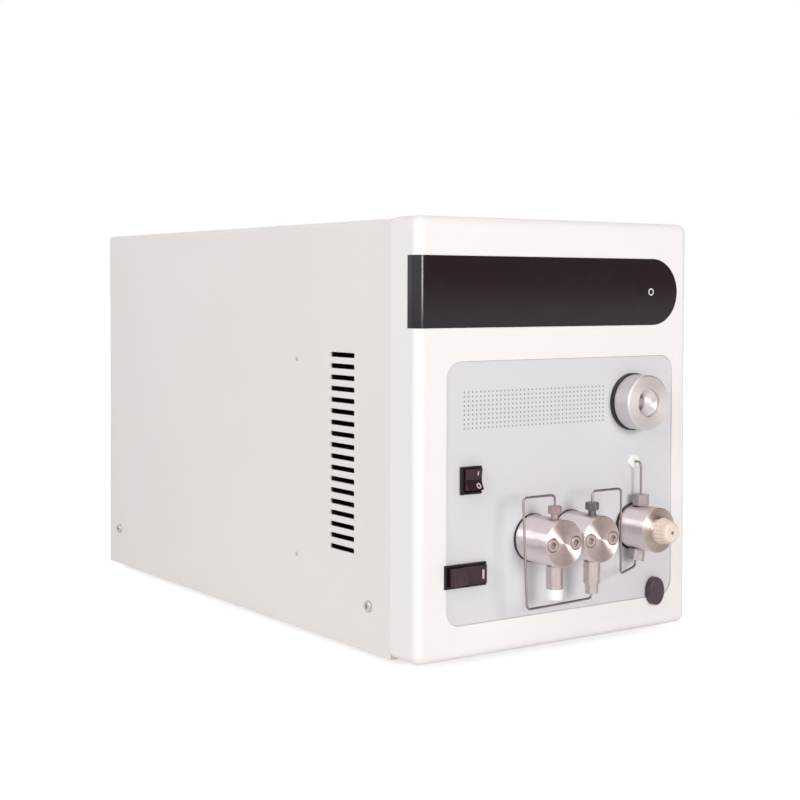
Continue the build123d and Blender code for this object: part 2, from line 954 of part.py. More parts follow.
def thumb_nut(centre):
    """Knurled finger-tight nut on a slim stem, above a pump head."""
    crown = pump_height + head_radius
    with BuildPart() as nut:
        add(stem(centre, valve_depth, thumb_nut_low, thumb_nut_radius, thumb_nut_length))
        chamfer(nut.edges().filter_by(GeomType.CIRCLE), head_edge)
        with BuildSketch(level(thumb_nut_low)):
            with Locations((centre, valve_depth)):
                with PolarLocations(thumb_nut_radius, grip_count):
                    Circle(grip_groove)
        extrude(amount=thumb_nut_length, mode=Mode.SUBTRACT)
        add(stem(centre, valve_depth, crown, thumb_stem_radius, thumb_nut_rise))
        add(
            stem(
                centre,
                valve_depth,
                crown - thumb_stub_length,
                thumb_stub_radius,
                thumb_stub_length,
            ),
        )
        add(
            stem(
                centre,
                valve_depth,
                crown - thumb_stub_length,
                tube_bore_radius,
                thumb_stub_length + thumb_nut_rise + thumb_nut_length,
            ),
            mode=Mode.SUBTRACT,
        )
    return nut.part


with BuildPart() as primary_thumb_nut:
    add(thumb_nut(primary_x))

with BuildPart() as secondary_thumb_nut:
    add(thumb_nut(secondary_x))

# ================================================================ purge valve
with BuildPart() as purge_gasket:
    add(bar(plate_recess, [purge_spot], purge_gasket_radius, plate_recess - purge_gasket_front))

port_line = Vector(0, 0, -1).rotate(Axis.Y, purge_port_tilt)
purge_port = Plane(
    origin=point(purge_x, purge_port_depth, pump_height), x_dir=(0, 1, 0), z_dir=port_line
)

with BuildPart() as purge_body:
    add(bar(purge_gasket_front, [purge_spot], purge_radius, purge_gasket_front - purge_front))
    chamfer(purge_body.faces().sort_by(Axis.Y)[0].edges(), head_edge)
    add(bar(purge_front, [purge_spot], purge_boss_radius, purge_front - purge_boss_front))
    add(
        bore(
            purge_boss_front,
            [purge_spot],
            purge_stem_radius + running_clearance,
            purge_stem_end - purge_boss_front,
        ),
        mode=Mode.SUBTRACT,
    )
    add(
        stem(
            purge_x,
            purge_port_depth,
            pump_height - passage_radius,
            passage_radius,
            purge_radius + passage_radius,
        ),
        mode=Mode.SUBTRACT,
    )
    with BuildSketch(purge_port):
        Circle(passage_radius)
    extrude(amount=purge_radius, mode=Mode.SUBTRACT)
    with BuildSketch(purge_port.offset(purge_radius)):
        Circle(port_stub_radius + seat_clearance)
    extrude(amount=-port_stub_length, mode=Mode.SUBTRACT)
    add(
        stem(
            purge_x,
            purge_port_depth,
            pump_height + purge_radius - port_stub_length,
            port_stub_radius + seat_clearance,
            port_stub_length,
        ),
        mode=Mode.SUBTRACT,
    )

with BuildPart() as purge_nuts:
    upper_seat = pump_height + purge_radius
    stub_low = upper_seat - port_stub_length
    add(hex_prism(purge_x, purge_port_depth, upper_seat, port_nut_flats, port_nut_length))
    add(stem(purge_x, purge_port_depth, stub_low, port_stub_radius, port_stub_length))
    with BuildSketch(purge_port.offset(purge_radius)):
        RegularPolygon(port_nut_flats / 2, 6, major_radius=False)
    extrude(amount=port_nut_length)
    with BuildSketch(purge_port.offset(purge_radius)):
        Circle(port_stub_radius)
    extrude(amount=-port_stub_length)
    nut_reach = purge_radius + port_nut_length
    add(
        stem(purge_x, purge_port_depth, pump_height, tube_bore_radius, nut_reach),
        mode=Mode.SUBTRACT,
    )
    with BuildSketch(purge_port):
        Circle(tube_bore_radius)
    extrude(amount=nut_reach, mode=Mode.SUBTRACT)

with BuildPart() as knob_flute:
    for depth, reach in (
        (purge_knob_front, purge_knob_front_radius),
        (purge_knob_rear, purge_knob_rear_radius),
    ):
        with BuildSketch(face(depth)):
            with Locations((purge_x, pump_height + reach)):
                Circle(knob_flute_radius)
    loft()

with BuildPart() as purge_knob:
    knob_axis = Axis(point(purge_x, purge_knob_rear, pump_height), (0, 1, 0))
    knob_blank = cone(
        purge_spot, purge_knob_front, purge_knob_front_radius, purge_knob_rear, purge_knob_rear_radius
    )
    add(knob_blank)
    fillet(purge_knob.faces().sort_by(Axis.Y)[0].edges(), purge_knob_edge)
    for turn in range(knob_flute_count):
        flute = knob_flute.part.rotate(knob_axis, turn * 360 / knob_flute_count)
        add(flute, mode=Mode.SUBTRACT)
    add(
        bar(
            purge_stem_end - body_gap,
            [purge_spot],
            purge_stem_radius,
            purge_stem_end - purge_knob_rear,
        ),
    )
    add(
        bore(purge_knob_front, [purge_spot], drain_bore_radius, drain_bore_length),
        mode=Mode.SUBTRACT,
    )

# ================================================================ injection valve
with BuildPart() as injector_ring:
    add(
        bar(
            plate_recess,
            [injector_spot],
            injector_ring_radius,
            plate_recess - injector_ring_front,
        ),
    )
    add(
        bore(
            injector_ring_front,
            [injector_spot],
            injector_hole_radius,
            plate_recess - injector_ring_front,
        ),
        mode=Mode.SUBTRACT,
    )

with BuildPart() as injector_knob:
    knob_rear = injector_ring_front - body_gap
    add(bar(knob_rear, [injector_spot], injector_knob_radius, knob_rear - injector_knob_front))
    chamfer(injector_knob.faces().sort_by(Axis.Y)[0].edges(), injector_knob_edge)
    add(
        bar(
            injector_sleeve_end,
            [injector_spot],
            injector_sleeve_radius,
            injector_sleeve_end - knob_rear,
        ),
    )
    add(
        bore(
            injector_knob_front,
            [injector_spot],
            needle_port_radius + running_clearance,
            injector_sleeve_end - injector_knob_front,
        ),
        mode=Mode.SUBTRACT,
    )

with BuildPart() as needle_port:
    add(
        bar(
            needle_port_end,
            [injector_spot],
            needle_port_radius,
            needle_port_end - needle_port_front,
        ),
    )
    add(
        bore(needle_port_front, [injector_spot], needle_bore_radius, needle_bore_length),
        mode=Mode.SUBTRACT,
    )
    funnel = cone(
        injector_spot,
        needle_port_front,
        needle_port_radius - needle_rim,
        needle_port_front + needle_funnel_depth,
        needle_bore_radius,
    )
    add(funnel, mode=Mode.SUBTRACT)

with BuildPart() as injector_valve:
    add(
        bar(
            injector_valve_end,
            [injector_spot],
            injector_valve_radius,
            injector_valve_end - plate_back,
        ),
    )
    add(
        bore(
            plate_back,
            [injector_spot],
            injector_sleeve_radius + running_clearance,
            injector_sleeve_end + body_gap - plate_back,
        ),
        mode=Mode.SUBTRACT,
    )
    add(
        bore(
            plate_back,
            [injector_spot],
            needle_port_radius + seat_clearance,
            needle_port_end - plate_back,
        ),
        mode=Mode.SUBTRACT,
    )
    with BuildSketch(face(injector_valve_end)):
        with Locations(injector_spot):
            with PolarLocations(injector_port_circle, injector_port_count):
                Circle(injector_port_radius)
    extrude(amount=port_stub_length, mode=Mode.SUBTRACT)
    valve_floor = injector_height - injector_valve_radius
    sensor_port_depth = (plate_back + sensor_end) / 2
    add(
        stem(purge_x, sensor_port_depth, valve_floor, tube_bore_radius, port_stub_length),
        mode=Mode.SUBTRACT,
    )

# ================================================================ capillaries
with BuildPart() as capillary_grommet:
    add(bar(plate_recess, [grommet_spot], grommet_radius, grommet_proud))
    fillet(capillary_grommet.faces().sort_by(Axis.Y)[0].edges(), grommet_proud / 2)
    add(bar(plate_back, [grommet_spot], grommet_neck_radius, plate_thickness))
    add(
        bore(-grommet_proud, [grommet_spot], tube_bore_radius, grommet_proud + plate_back),
        mode=Mode.SUBTRACT,
    )


def tube(points):
    """Steel capillary bent along the points."""
    with BuildPart() as bent:
        with BuildLine() as route:
            FilletPolyline(*[point(*spot) for spot in points], radius=tube_bend)
        with BuildSketch(Plane(origin=route.line @ 0, z_dir=route.line % 0)):
            Circle(tube_radius)
        sweep()
    return bent.part


with BuildPart() as primary_capillary:
    tube_left = primary_x - primary_tube_left
    add(
        tube(
            (
                (primary_x, valve_depth, pump_height + tube_seat),
                (primary_x, valve_depth, tube_crest),
                (tube_left, valve_depth, tube_crest),
                (
                    tube_left + primary_tube_lean,
                    valve_depth - primary_tube_forward,
                    primary_tube_low,
                ),
                (secondary_x, valve_depth, primary_tube_low),
                (secondary_x, valve_depth, pump_height - tube_seat),
            ),
        ),
    )

with BuildPart() as secondary_capillary:
    tube_right = secondary_x + secondary_tube_right
    corner_reach = (secondary_tube_low - pump_height) / port_line.Z
    purge_corner_x = purge_x + port_line.X * corner_reach
    purge_seat_x = purge_x + port_line.X * tube_seat
    purge_seat_height = pump_height + port_line.Z * tube_seat
    add(
        tube(
            (
                (secondary_x, valve_depth, pump_height + tube_seat),
                (secondary_x, valve_depth, tube_crest),
                (tube_right, valve_depth, tube_crest),
                (tube_right, valve_depth, secondary_tube_low),
                (purge_corner_x, purge_port_depth, secondary_tube_low),
                (purge_seat_x, purge_port_depth, purge_seat_height),
            ),
        ),
    )

with BuildPart() as outlet_capillary:
    add(
        tube(
            (
                (purge_x, purge_port_depth, pump_height + tube_seat),
                (purge_x, purge_port_depth, outlet_height),
                (purge_x, outlet_tube_end, outlet_height),
            ),
        ),
    )

with BuildPart() as pressure_sensor:
    sensor_top = outlet_height + sensor_rise
    with BuildSketch(face(sensor_end)):
        with Locations((purge_x, sensor_top)):
            Rectangle(sensor_width, sensor_height, align=(Align.CENTER, Align.MAX))
    extrude(amount=sensor_end - plate_back)
    chamfer(pressure_sensor.edges().filter_by(Axis.Y), head_edge)
    add(
        bore(plate_back, [grommet_spot], tube_bore_radius, outlet_tube_end - plate_back),
        mode=Mode.SUBTRACT,
    )
    sensor_port_low = sensor_top - port_stub_length
    add(
        stem(purge_x, sensor_port_depth, sensor_port_low, tube_bore_radius, port_stub_length),
        mode=Mode.SUBTRACT,
    )

with BuildPart() as transfer_capillary:
    transfer_length = valve_floor + port_stub_length - sensor_port_low
    add(stem(purge_x, sensor_port_depth, sensor_port_low, tube_radius, transfer_length))


# ================================================================ switches
def pivot_plane(spot, upright, tilt):
    """Plane through a rocker's pivot, across its pin; local y is outward, x runs along the rocker."""
    run = Vector(0, 0, 1) if upright else Vector(1, 0, 0)
    pin = Vector(1, 0, 0) if upright else Vector(0, 0, -1)
    tilted = run.rotate(Axis((0, 0, 0), pin), tilt)
    return Plane(origin=point(spot[0], rocker_pivot_depth, spot[1]), x_dir=tilted, z_dir=pin)


def switch_frame(spot, frame_width, frame_height, upright):
    """Snap-in switch housing: rim, hollow body with pivot seats, and terminals."""
    body_width = frame_width - 2 * frame_lip
    body_height = frame_height - 2 * frame_lip
    pin_span = frame_width if upright else frame_height
    with BuildPart() as frame:
        with BuildSketch(face(0)):
            with Locations(spot):
                Rectangle(frame_width, frame_height)
        extrude(amount=frame_proud)
        chamfer(frame.faces().sort_by(Axis.Y)[0].edges(), frame_edge)
        with BuildSketch(face(switch_body_depth)):
            with Locations(spot):
                Rectangle(body_width, body_height)
        extrude(amount=switch_body_depth)
        with BuildSketch(face(cavity_depth)):
            with Locations(spot):
                Rectangle(frame_width - 2 * frame_rim, frame_height - 2 * frame_rim)
        extrude(amount=cavity_depth + frame_proud, mode=Mode.SUBTRACT)
        with BuildSketch(pivot_plane(spot, upright, 0)):
            Circle(rocker_pin_radius + running_clearance)
        extrude(amount=pin_span / 2, both=True, mode=Mode.SUBTRACT)
        with BuildSketch(face(switch_body_depth)):
            with Locations(spot):
                with GridLocations(body_width / 2, body_height / 2, 2, 1):
                    Rectangle(terminal_thickness, terminal_width)
        extrude(amount=-terminal_length)
    return frame.part


def rocker(spot, frame_width, frame_height, upright):
    """Rocker with raised ends and a valley over its pivot pin, stored with one end pressed."""
    long_way = frame_height if upright else frame_width
    cross_way = frame_width if upright else frame_height
    half = long_way / 2 - frame_rim - rocker_play
    crest = rocker_pivot_depth + frame_proud + rocker_rise
    valley = rocker_pivot_depth + frame_proud + rocker_valley
    with BuildPart() as button:
        with BuildSketch(pivot_plane(spot, upright, -rocker_tilt)):
            with BuildLine():
                Polyline(
                    (-half, crest),
                    (0, valley),
                    (half, crest),
                    (half, rocker_shoulder),
                    (rocker_root / 2, -rocker_root),
                    (-rocker_root / 2, -rocker_root),
                    (-half, rocker_shoulder),
                    close=True,
                )
            make_face()
        extrude(amount=cross_way / 2 - frame_rim - rocker_side_play, both=True)
        with BuildSketch(pivot_plane(spot, upright, -rocker_tilt)):
            Circle(rocker_pin_radius)
        extrude(amount=cross_way / 2 - frame_lip - rocker_side_play, both=True)
    return button.part


with BuildPart() as upper_switch:
    add(switch_frame(upper_switch_spot, upper_frame_width, upper_frame_height, True))

with BuildPart() as upper_rocker:
    add(rocker(upper_switch_spot, upper_frame_width, upper_frame_height, True))

with BuildPart() as power_switch:
    add(switch_frame(power_switch_spot, power_frame_width, power_frame_height, False))

with BuildPart() as power_rocker:
    add(rocker(power_switch_spot, power_frame_width, power_frame_height, False))

# ================================================================ blanking plug
with BuildPart() as blanking_plug:
    with BuildSketch(face(0)):
        with Locations(plug_spot):
            Ellipse(plug_half_width, plug_half_height)
    extrude(amount=plug_proud)
    fillet(blanking_plug.faces().sort_by(Axis.Y)[0].edges(), plug_edge)
    add(bar(plug_shank_end, [plug_spot], plug_shank_radius, plug_shank_end))

# ================================================================ pump drive
with BuildPart() as drive_housing:
    with BuildSketch(face(drive_end)):
        with Locations((drive_middle, (drive_low + drive_high) / 2)):
            Rectangle(drive_right - drive_left, drive_high - drive_low)
    extrude(amount=drive_end - plate_back)
    fillet(drive_housing.edges().filter_by(Axis.Y), motor_corner)
    carrier_room = carrier_front + carrier_length + 2 * plunger_stroke - plate_back
    plunger_spots = [(centre, pump_height) for centre in head_centres]
    add(
        bore(plate_back, plunger_spots, carrier_radius + running_clearance, carrier_room),
        mode=Mode.SUBTRACT,
    )
    screw_room = head_screw_reach - plate_back + body_gap
    add(
        bore(plate_back, head_screw_spots, head_screw_radius + seat_clearance, screw_room),
        mode=Mode.SUBTRACT,
    )

with BuildPart() as drive_motor:
    with BuildSketch(face(drive_end + motor_length)):
        with Locations((drive_middle, pump_height)):
            RectangleRounded(motor_core_width, motor_core_width, motor_corner)
    extrude(amount=motor_length)
    for cap_depth in (drive_end + motor_cap_length, drive_end + motor_length):
        with BuildSketch(face(cap_depth)):
            with Locations((drive_middle, pump_height)):
                RectangleRounded(motor_width, motor_width, motor_corner)
        extrude(amount=motor_cap_length)
    chamfer(drive_motor.faces().sort_by(Axis.Y)[-1].edges(), frame_edge)

with BuildPart() as drive_bracket:
    bracket_width = drive_right - drive_left - 2 * motor_corner
    with BuildSketch(face(bracket_end)):
        with Locations((drive_middle, floor_top)):
            Rectangle(bracket_width, drive_low - floor_top, align=(Align.CENTER, Align.MIN))
            Rectangle(
                bracket_width - 2 * bracket_sheet,
                drive_low - floor_top - bracket_sheet,
                align=(Align.CENTER, Align.MIN),
                mode=Mode.SUBTRACT,
            )
            Rectangle(
                bracket_width + 2 * bracket_flange, bracket_sheet, align=(Align.CENTER, Align.MIN)
            )
            Rectangle(
                bracket_width - 2 * bracket_sheet,
                bracket_sheet,
                align=(Align.CENTER, Align.MIN),
                mode=Mode.SUBTRACT,
            )
    extrude(amount=bracket_end - bracket_front)

# ================================================================ electrics
with BuildPart() as power_supply:
    with BuildSketch(level(floor_top)):
        with Locations((supply_x, supply_rear - supply_length / 2)):
            Rectangle(supply_width, supply_length)
    extrude(amount=supply_height)
    with BuildSketch(level(floor_top + supply_height)):
        with Locations((supply_x, supply_rear - supply_length / 2)):
            with GridLocations(
                supply_width / supply_vent_columns,
                supply_length / supply_vent_rows,
                supply_vent_columns,
                supply_vent_rows,
            ):
                Circle(vent_hole_radius)
    extrude(amount=-base_sheet, mode=Mode.SUBTRACT)
    chamfer(power_supply.edges().filter_by(Axis.Z), frame_edge)

with BuildPart() as board_standoffs:
    with BuildSketch(level(floor_top)):
        with Locations((board_x, board_middle_depth)):
            with GridLocations(
                board_width - 2 * standoff_inset, board_length - 2 * standoff_inset, 2, 2
            ):
                RegularPolygon(standoff_radius, 6)
    extrude(amount=standoff_height)

with BuildPart() as main_board:
    with BuildSketch(level(floor_top + standoff_height)):
        with Locations((board_x, board_middle_depth)):
            Rectangle(board_width, board_length)
            with GridLocations(
                board_width - 2 * standoff_inset, board_length - 2 * standoff_inset, 2, 2
            ):
                Circle(rear_screw_radius, mode=Mode.SUBTRACT)
    extrude(amount=board_thickness)

with BuildPart() as board_parts:
    with BuildSketch(level(floor_top + standoff_height + board_thickness)):
        with Locations((board_x, board_middle_depth)):
            with GridLocations(chip_spacing, chip_spacing, 2, 3):
                Rectangle(chip_width, chip_width)
    extrude(amount=chip_height)
    with BuildSketch(level(floor_top + standoff_height + board_thickness)):
        with Locations((board_x, board_middle_depth - board_length / 2 + 2 * standoff_inset)):
            with GridLocations(capacitor_spacing, capacitor_spacing, 3, 1):
                Circle(capacitor_radius)
    extrude(amount=capacitor_height)

# ================================================================ rear
fan_spot = (fan_x, fan_height)
fan_front = panel_front - fan_depth
rotor_rear = panel_front - fan_motor_thickness / 2
rotor_length = fan_depth - 2 * fan_motor_thickness - body_gap
spindle_end = rotor_rear - fan_motor_thickness - body_gap
with BuildPart() as rear_panel:
    with BuildSketch(face(case_depth)):
        with Locations((0, -base_drop)):
            back = Rectangle(2 * pan_half, panel_high + base_drop, align=(Align.CENTER, Align.MIN))
        fillet(back.vertices().group_by(Axis.Y)[-1], cover_fold - cover_sheet)
        with Locations(fan_spot):
            Circle(vent_hole_radius, mode=Mode.SUBTRACT)
            for ring in range(1, vent_ring_count + 1):
                with PolarLocations(ring * vent_ring_spacing, ring * vent_ring_holes):
                    Circle(vent_hole_radius, mode=Mode.SUBTRACT)
            with GridLocations(fan_hole_spacing, fan_hole_spacing, 2, 2):
                Circle(fan_screw_radius + slot_clearance, mode=Mode.SUBTRACT)
        with Locations((inlet_x, inlet_height)):
            Rectangle(
                inlet_body_width + 2 * slot_clearance,
                inlet_body_height + 2 * slot_clearance,
                mode=Mode.SUBTRACT,
            )
            with GridLocations(inlet_screw_spacing, inlet_screw_spacing, 2, 1):
                Circle(rear_screw_radius + seat_clearance, mode=Mode.SUBTRACT)
        with Locations(*corners(-rear_screw_x, rear_screw_x, rear_screw_low, panel_high - rear_screw_low)):
            Circle(rear_screw_radius + seat_clearance, mode=Mode.SUBTRACT)
    extrude(amount=base_sheet)


def panel_screws(spots, radius, head_radius, head_height, length):
    """Dome-head screws seated on the rear panel's outer face, with cross slots."""
    with BuildPart() as screws:
        with BuildSketch(face(case_depth)):
            with Locations(*spots):
                Circle(head_radius)
        extrude(amount=-head_height)
        fillet(screws.faces().group_by(Axis.Y)[-1].edges(), head_height / 2)
        add(bar(case_depth, spots, radius, length))
        with BuildSketch(face(case_depth + head_height)):
            with Locations(*spots):
                Rectangle(head_radius, cross_width)
                Rectangle(cross_width, head_radius)
        extrude(amount=cross_depth, mode=Mode.SUBTRACT)
    return screws.part


with BuildPart() as rear_screws:
    add(
        panel_screws(
            corners(-rear_screw_x, rear_screw_x, rear_screw_low, panel_high - rear_screw_low),
            rear_screw_radius,
            rear_screw_head_radius,
            rear_screw_head_height,
            rear_screw_length,
        ),
    )

fan_half_spacing = fan_hole_spacing / 2
fan_corners = corners(
    fan_x - fan_half_spacing,
    fan_x + fan_half_spacing,
    fan_height - fan_half_spacing,
    fan_height + fan_half_spacing,
)
with BuildPart() as fan_screws:
    add(
        panel_screws(
            fan_corners,
            fan_screw_radius,
            rear_screw_head_radius + frame_edge,
            rear_screw_head_height,
            rear_screw_length,
        ),
    )

with BuildPart() as fan_frame:
    with BuildSketch(face(panel_front)):
        with Locations(fan_spot):
            RectangleRounded(fan_size, fan_size, motor_corner)
            Circle(fan_bore_radius, mode=Mode.SUBTRACT)
        with Locations(*fan_corners):
            Circle(fan_screw_radius + seat_clearance, mode=Mode.SUBTRACT)
    extrude(amount=fan_depth)
    with BuildSketch(face(fan_front + fan_motor_thickness)):
        with Locations(fan_spot):
            Circle(fan_hub_radius)
            with PolarLocations(0, 4, start_angle=45):
                Rectangle(
                    fan_bore_radius + frame_edge, fan_motor_thickness, align=(Align.MIN, Align.CENTER)
                )
    extrude(amount=fan_motor_thickness)
    add(bar(spindle_end, [fan_spot], fan_spindle_radius, spindle_end - fan_front))

rotor_middle = rotor_rear - rotor_length / 2
with BuildPart() as fan_rotor:
    for blade in range(fan_blade_count):
        radial = Vector(1, 0, 0).rotate(Axis.Y, blade * 360 / fan_blade_count)
        hub_centre = point(fan_x, rotor_middle, fan_height)
        spoke = Plane(origin=hub_centre, x_dir=(0, 1, 0), z_dir=radial)
        with BuildSketch(spoke.offset(fan_hub_radius - frame_rim)):
            Rectangle(fan_blade_chord, fan_blade_thickness, rotation=fan_blade_angle)
        extrude(amount=fan_blade_radius - fan_hub_radius + 2 * frame_rim)
    add(bar(rotor_rear, [fan_spot], fan_blade_radius, rotor_length), mode=Mode.INTERSECT)
    add(bar(rotor_rear, [fan_spot], fan_hub_radius, rotor_length))
    add(
        bar(
            rotor_rear - fan_motor_thickness,
            [fan_spot],
            fan_spindle_radius + running_clearance,
            rotor_length,
        ),
        mode=Mode.SUBTRACT,
    )

inlet_spot = (inlet_x, inlet_height)
flange_face = case_depth + rear_proud
socket_floor = flange_face - socket_depth
sink_end = flange_face - inlet_screw_head_radius + rear_screw_radius
inlet_screw_spots = (
    (inlet_x - inlet_screw_spacing / 2, inlet_height),
    (inlet_x + inlet_screw_spacing / 2, inlet_height),
)
with BuildPart() as mains_inlet:
    with BuildSketch(face(case_depth)):
        with Locations(inlet_spot):
            RectangleRounded(inlet_flange_width, inlet_flange_height, motor_corner)
            with GridLocations(inlet_screw_spacing, inlet_screw_spacing, 2, 1):
                Circle(rear_screw_radius + slot_clearance, mode=Mode.SUBTRACT)
    extrude(amount=-rear_proud)
    for spot in inlet_screw_spots:
        sink = cone(
            spot,
            flange_face,
            inlet_screw_head_radius + slot_clearance,
            sink_end,
            rear_screw_radius + slot_clearance,
        )
        add(sink, mode=Mode.SUBTRACT)
    with BuildSketch(face(case_depth)):
        with Locations(inlet_spot):
            Rectangle(inlet_body_width, inlet_body_height)
    extrude(amount=inlet_body_depth)
    with BuildSketch(face(socket_floor)):
        with Locations(inlet_spot):
            socket = Rectangle(socket_width, socket_height)
        chamfer(socket.vertices().group_by(Axis.Y)[-1], socket_corner)
    extrude(amount=-socket_depth, mode=Mode.SUBTRACT)
    with BuildSketch(face(case_depth - inlet_body_depth)):
        with Locations(inlet_spot):
            with Locations((-pin_spread, -pin_offset), (pin_spread, -pin_offset), (0, pin_offset)):
                Rectangle(pin_thickness + 2 * seat_clearance, pin_width + 2 * seat_clearance)
    extrude(amount=-inlet_body_depth, mode=Mode.SUBTRACT)

with BuildPart() as inlet_pins:
    with BuildSketch(face(case_depth - inlet_body_depth - terminal_length)):
        with Locations(inlet_spot):
            with Locations((-pin_spread, -pin_offset), (pin_spread, -pin_offset), (0, pin_offset)):
                Rectangle(pin_thickness, pin_width)
    extrude(amount=-(terminal_length + inlet_body_depth + rear_proud - socket_depth + pin_length))

with BuildPart() as inlet_screws:
    for spot in inlet_screw_spots:
        add(cone(spot, flange_face, inlet_screw_head_radius, sink_end, rear_screw_radius))
    add(bar(flange_face, inlet_screw_spots, rear_screw_radius, rear_screw_length))
    with BuildSketch(face(flange_face)):
        with Locations(*inlet_screw_spots):
            Rectangle(rear_screw_head_radius, cross_width)
            Rectangle(cross_width, rear_screw_head_radius)
    extrude(amount=cross_depth, mode=Mode.SUBTRACT)

# ================================================================ bezel fixings
with BuildPart() as bezel_screws:
    for spots, sheet in ((bezel_low_spots, base_sheet), (bezel_high_spots, cover_sheet)):
        seat = bezel_depth + sheet
        add(
            bar(
                seat + rear_screw_head_height,
                spots,
                rear_screw_head_radius,
                rear_screw_head_height,
            ),
        )
        add(bar(seat, spots, rear_screw_radius, bezel_screw_length))

# ================================================================ export
nodes = {
    "feet": feet,
    "foot_screws": foot_screws,
    "base_pan": base_pan,
    "top_cover": top_cover,
    "cover_screws": cover_screws,
    "cover_rivets": cover_rivets,
    "front_bezel": front_bezel,
    "display_window": display_window,
    "status_ring": status_ring,
    "lcd_module": lcd_module,
    "front_plate": front_plate,
    "head_gaskets": head_gaskets,
    "primary_head": primary_head,
    "secondary_head": secondary_head,
    "head_screws": head_screws,
    "plunger_seals": plunger_seals,
    "primary_plunger": primary_plunger,
    "secondary_plunger": secondary_plunger,
    "inlet_valve": inlet_valve,
    "inlet_nut": inlet_nut,
    "transfer_valve": transfer_valve,
    "transfer_fitting": transfer_fitting,
    "primary_thumb_nut": primary_thumb_nut,
    "secondary_thumb_nut": secondary_thumb_nut,
    "purge_gasket": purge_gasket,
    "purge_body": purge_body,
    "purge_nuts": purge_nuts,
    "purge_knob": purge_knob,
    "injector_ring": injector_ring,
    "injector_knob": injector_knob,
    "needle_port": needle_port,
    "injector_valve": injector_valve,
    "capillary_grommet": capillary_grommet,
    "primary_capillary": primary_capillary,
    "secondary_capillary": secondary_capillary,
    "outlet_capillary": outlet_capillary,
    "pressure_sensor": pressure_sensor,
    "transfer_capillary": transfer_capillary,
    "upper_switch": upper_switch,
    "upper_rocker": upper_rocker,
    "power_switch": power_switch,
    "power_rocker": power_rocker,
    "blanking_plug": blanking_plug,
    "drive_housing": drive_housing,
    "drive_motor": drive_motor,
    "drive_bracket": drive_bracket,
    "power_supply": power_supply,
    "board_standoffs": board_standoffs,
    "main_board": main_board,
    "board_parts": board_parts,
    "rear_panel": rear_panel,
    "rear_screws": rear_screws,
    "bezel_screws": bezel_screws,
    "fan_frame": fan_frame,
    "fan_rotor": fan_rotor,
    "fan_screws": fan_screws,
    "mains_inlet": mains_inlet,
    "inlet_pins": inlet_pins,
    "inlet_screws": inlet_screws,
}
for label, built in nodes.items():
    built.part.label = label
    export_step(built.part, f"parts/{label}.step")
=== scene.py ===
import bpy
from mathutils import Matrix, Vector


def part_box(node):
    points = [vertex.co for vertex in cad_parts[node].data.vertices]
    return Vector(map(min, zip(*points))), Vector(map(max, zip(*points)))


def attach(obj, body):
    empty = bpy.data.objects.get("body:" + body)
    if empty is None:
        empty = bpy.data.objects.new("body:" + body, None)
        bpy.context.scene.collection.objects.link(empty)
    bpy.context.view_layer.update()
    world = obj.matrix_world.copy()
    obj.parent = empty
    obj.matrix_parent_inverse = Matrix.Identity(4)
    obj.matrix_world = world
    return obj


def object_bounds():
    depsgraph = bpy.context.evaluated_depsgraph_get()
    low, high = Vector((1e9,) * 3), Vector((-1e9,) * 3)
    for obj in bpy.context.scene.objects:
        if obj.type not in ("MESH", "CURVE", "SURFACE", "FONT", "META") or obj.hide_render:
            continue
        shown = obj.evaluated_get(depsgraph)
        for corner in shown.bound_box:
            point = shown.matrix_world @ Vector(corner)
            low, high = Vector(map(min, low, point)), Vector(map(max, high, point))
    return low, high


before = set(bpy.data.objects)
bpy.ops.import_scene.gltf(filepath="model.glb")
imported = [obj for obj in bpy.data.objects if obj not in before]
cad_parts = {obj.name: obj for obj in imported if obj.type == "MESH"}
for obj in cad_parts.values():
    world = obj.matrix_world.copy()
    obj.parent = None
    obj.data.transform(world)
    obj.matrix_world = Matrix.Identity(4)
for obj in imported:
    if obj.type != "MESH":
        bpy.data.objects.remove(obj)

"""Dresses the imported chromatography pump: finishes, printed marks, studio and camera.

Lengths in the classes are millimetres unless a name says otherwise. Blender's own are metres.
"""

import logging
import math
from dataclasses import dataclass
from enum import Enum
from typing import Any, Dict, List, Optional, Sequence, Tuple

import bpy
from mathutils import Matrix, Vector

CAD_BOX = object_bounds()
LOG = logging.getLogger("pump")
MM = 0.001

Triple = Tuple[float, float, float]
Colour = Triple
Socket = bpy.types.NodeSocket
Node = bpy.types.Node
NodeTree = bpy.types.NodeTree
Material = bpy.types.Material
Piece = bpy.types.Object


def linear(red: int, green: int, blue: int) -> Colour:
    """Turns an 8-bit display colour into scene-linear values.

    Args:
        red: Red, 0 to 255.
        green: Green, 0 to 255.
        blue: Blue, 0 to 255.

    Returns:
        The same colour as scene-linear floats.
    """
    shares = (red / 255, green / 255, blue / 255)
    toe, slope, lift, power = 0.04045, 12.92, 0.055, 2.4
    levels = [share / slope if share <= toe else ((share + lift) / (1 + lift)) ** power for share in shares]
    return (levels[0], levels[1], levels[2])


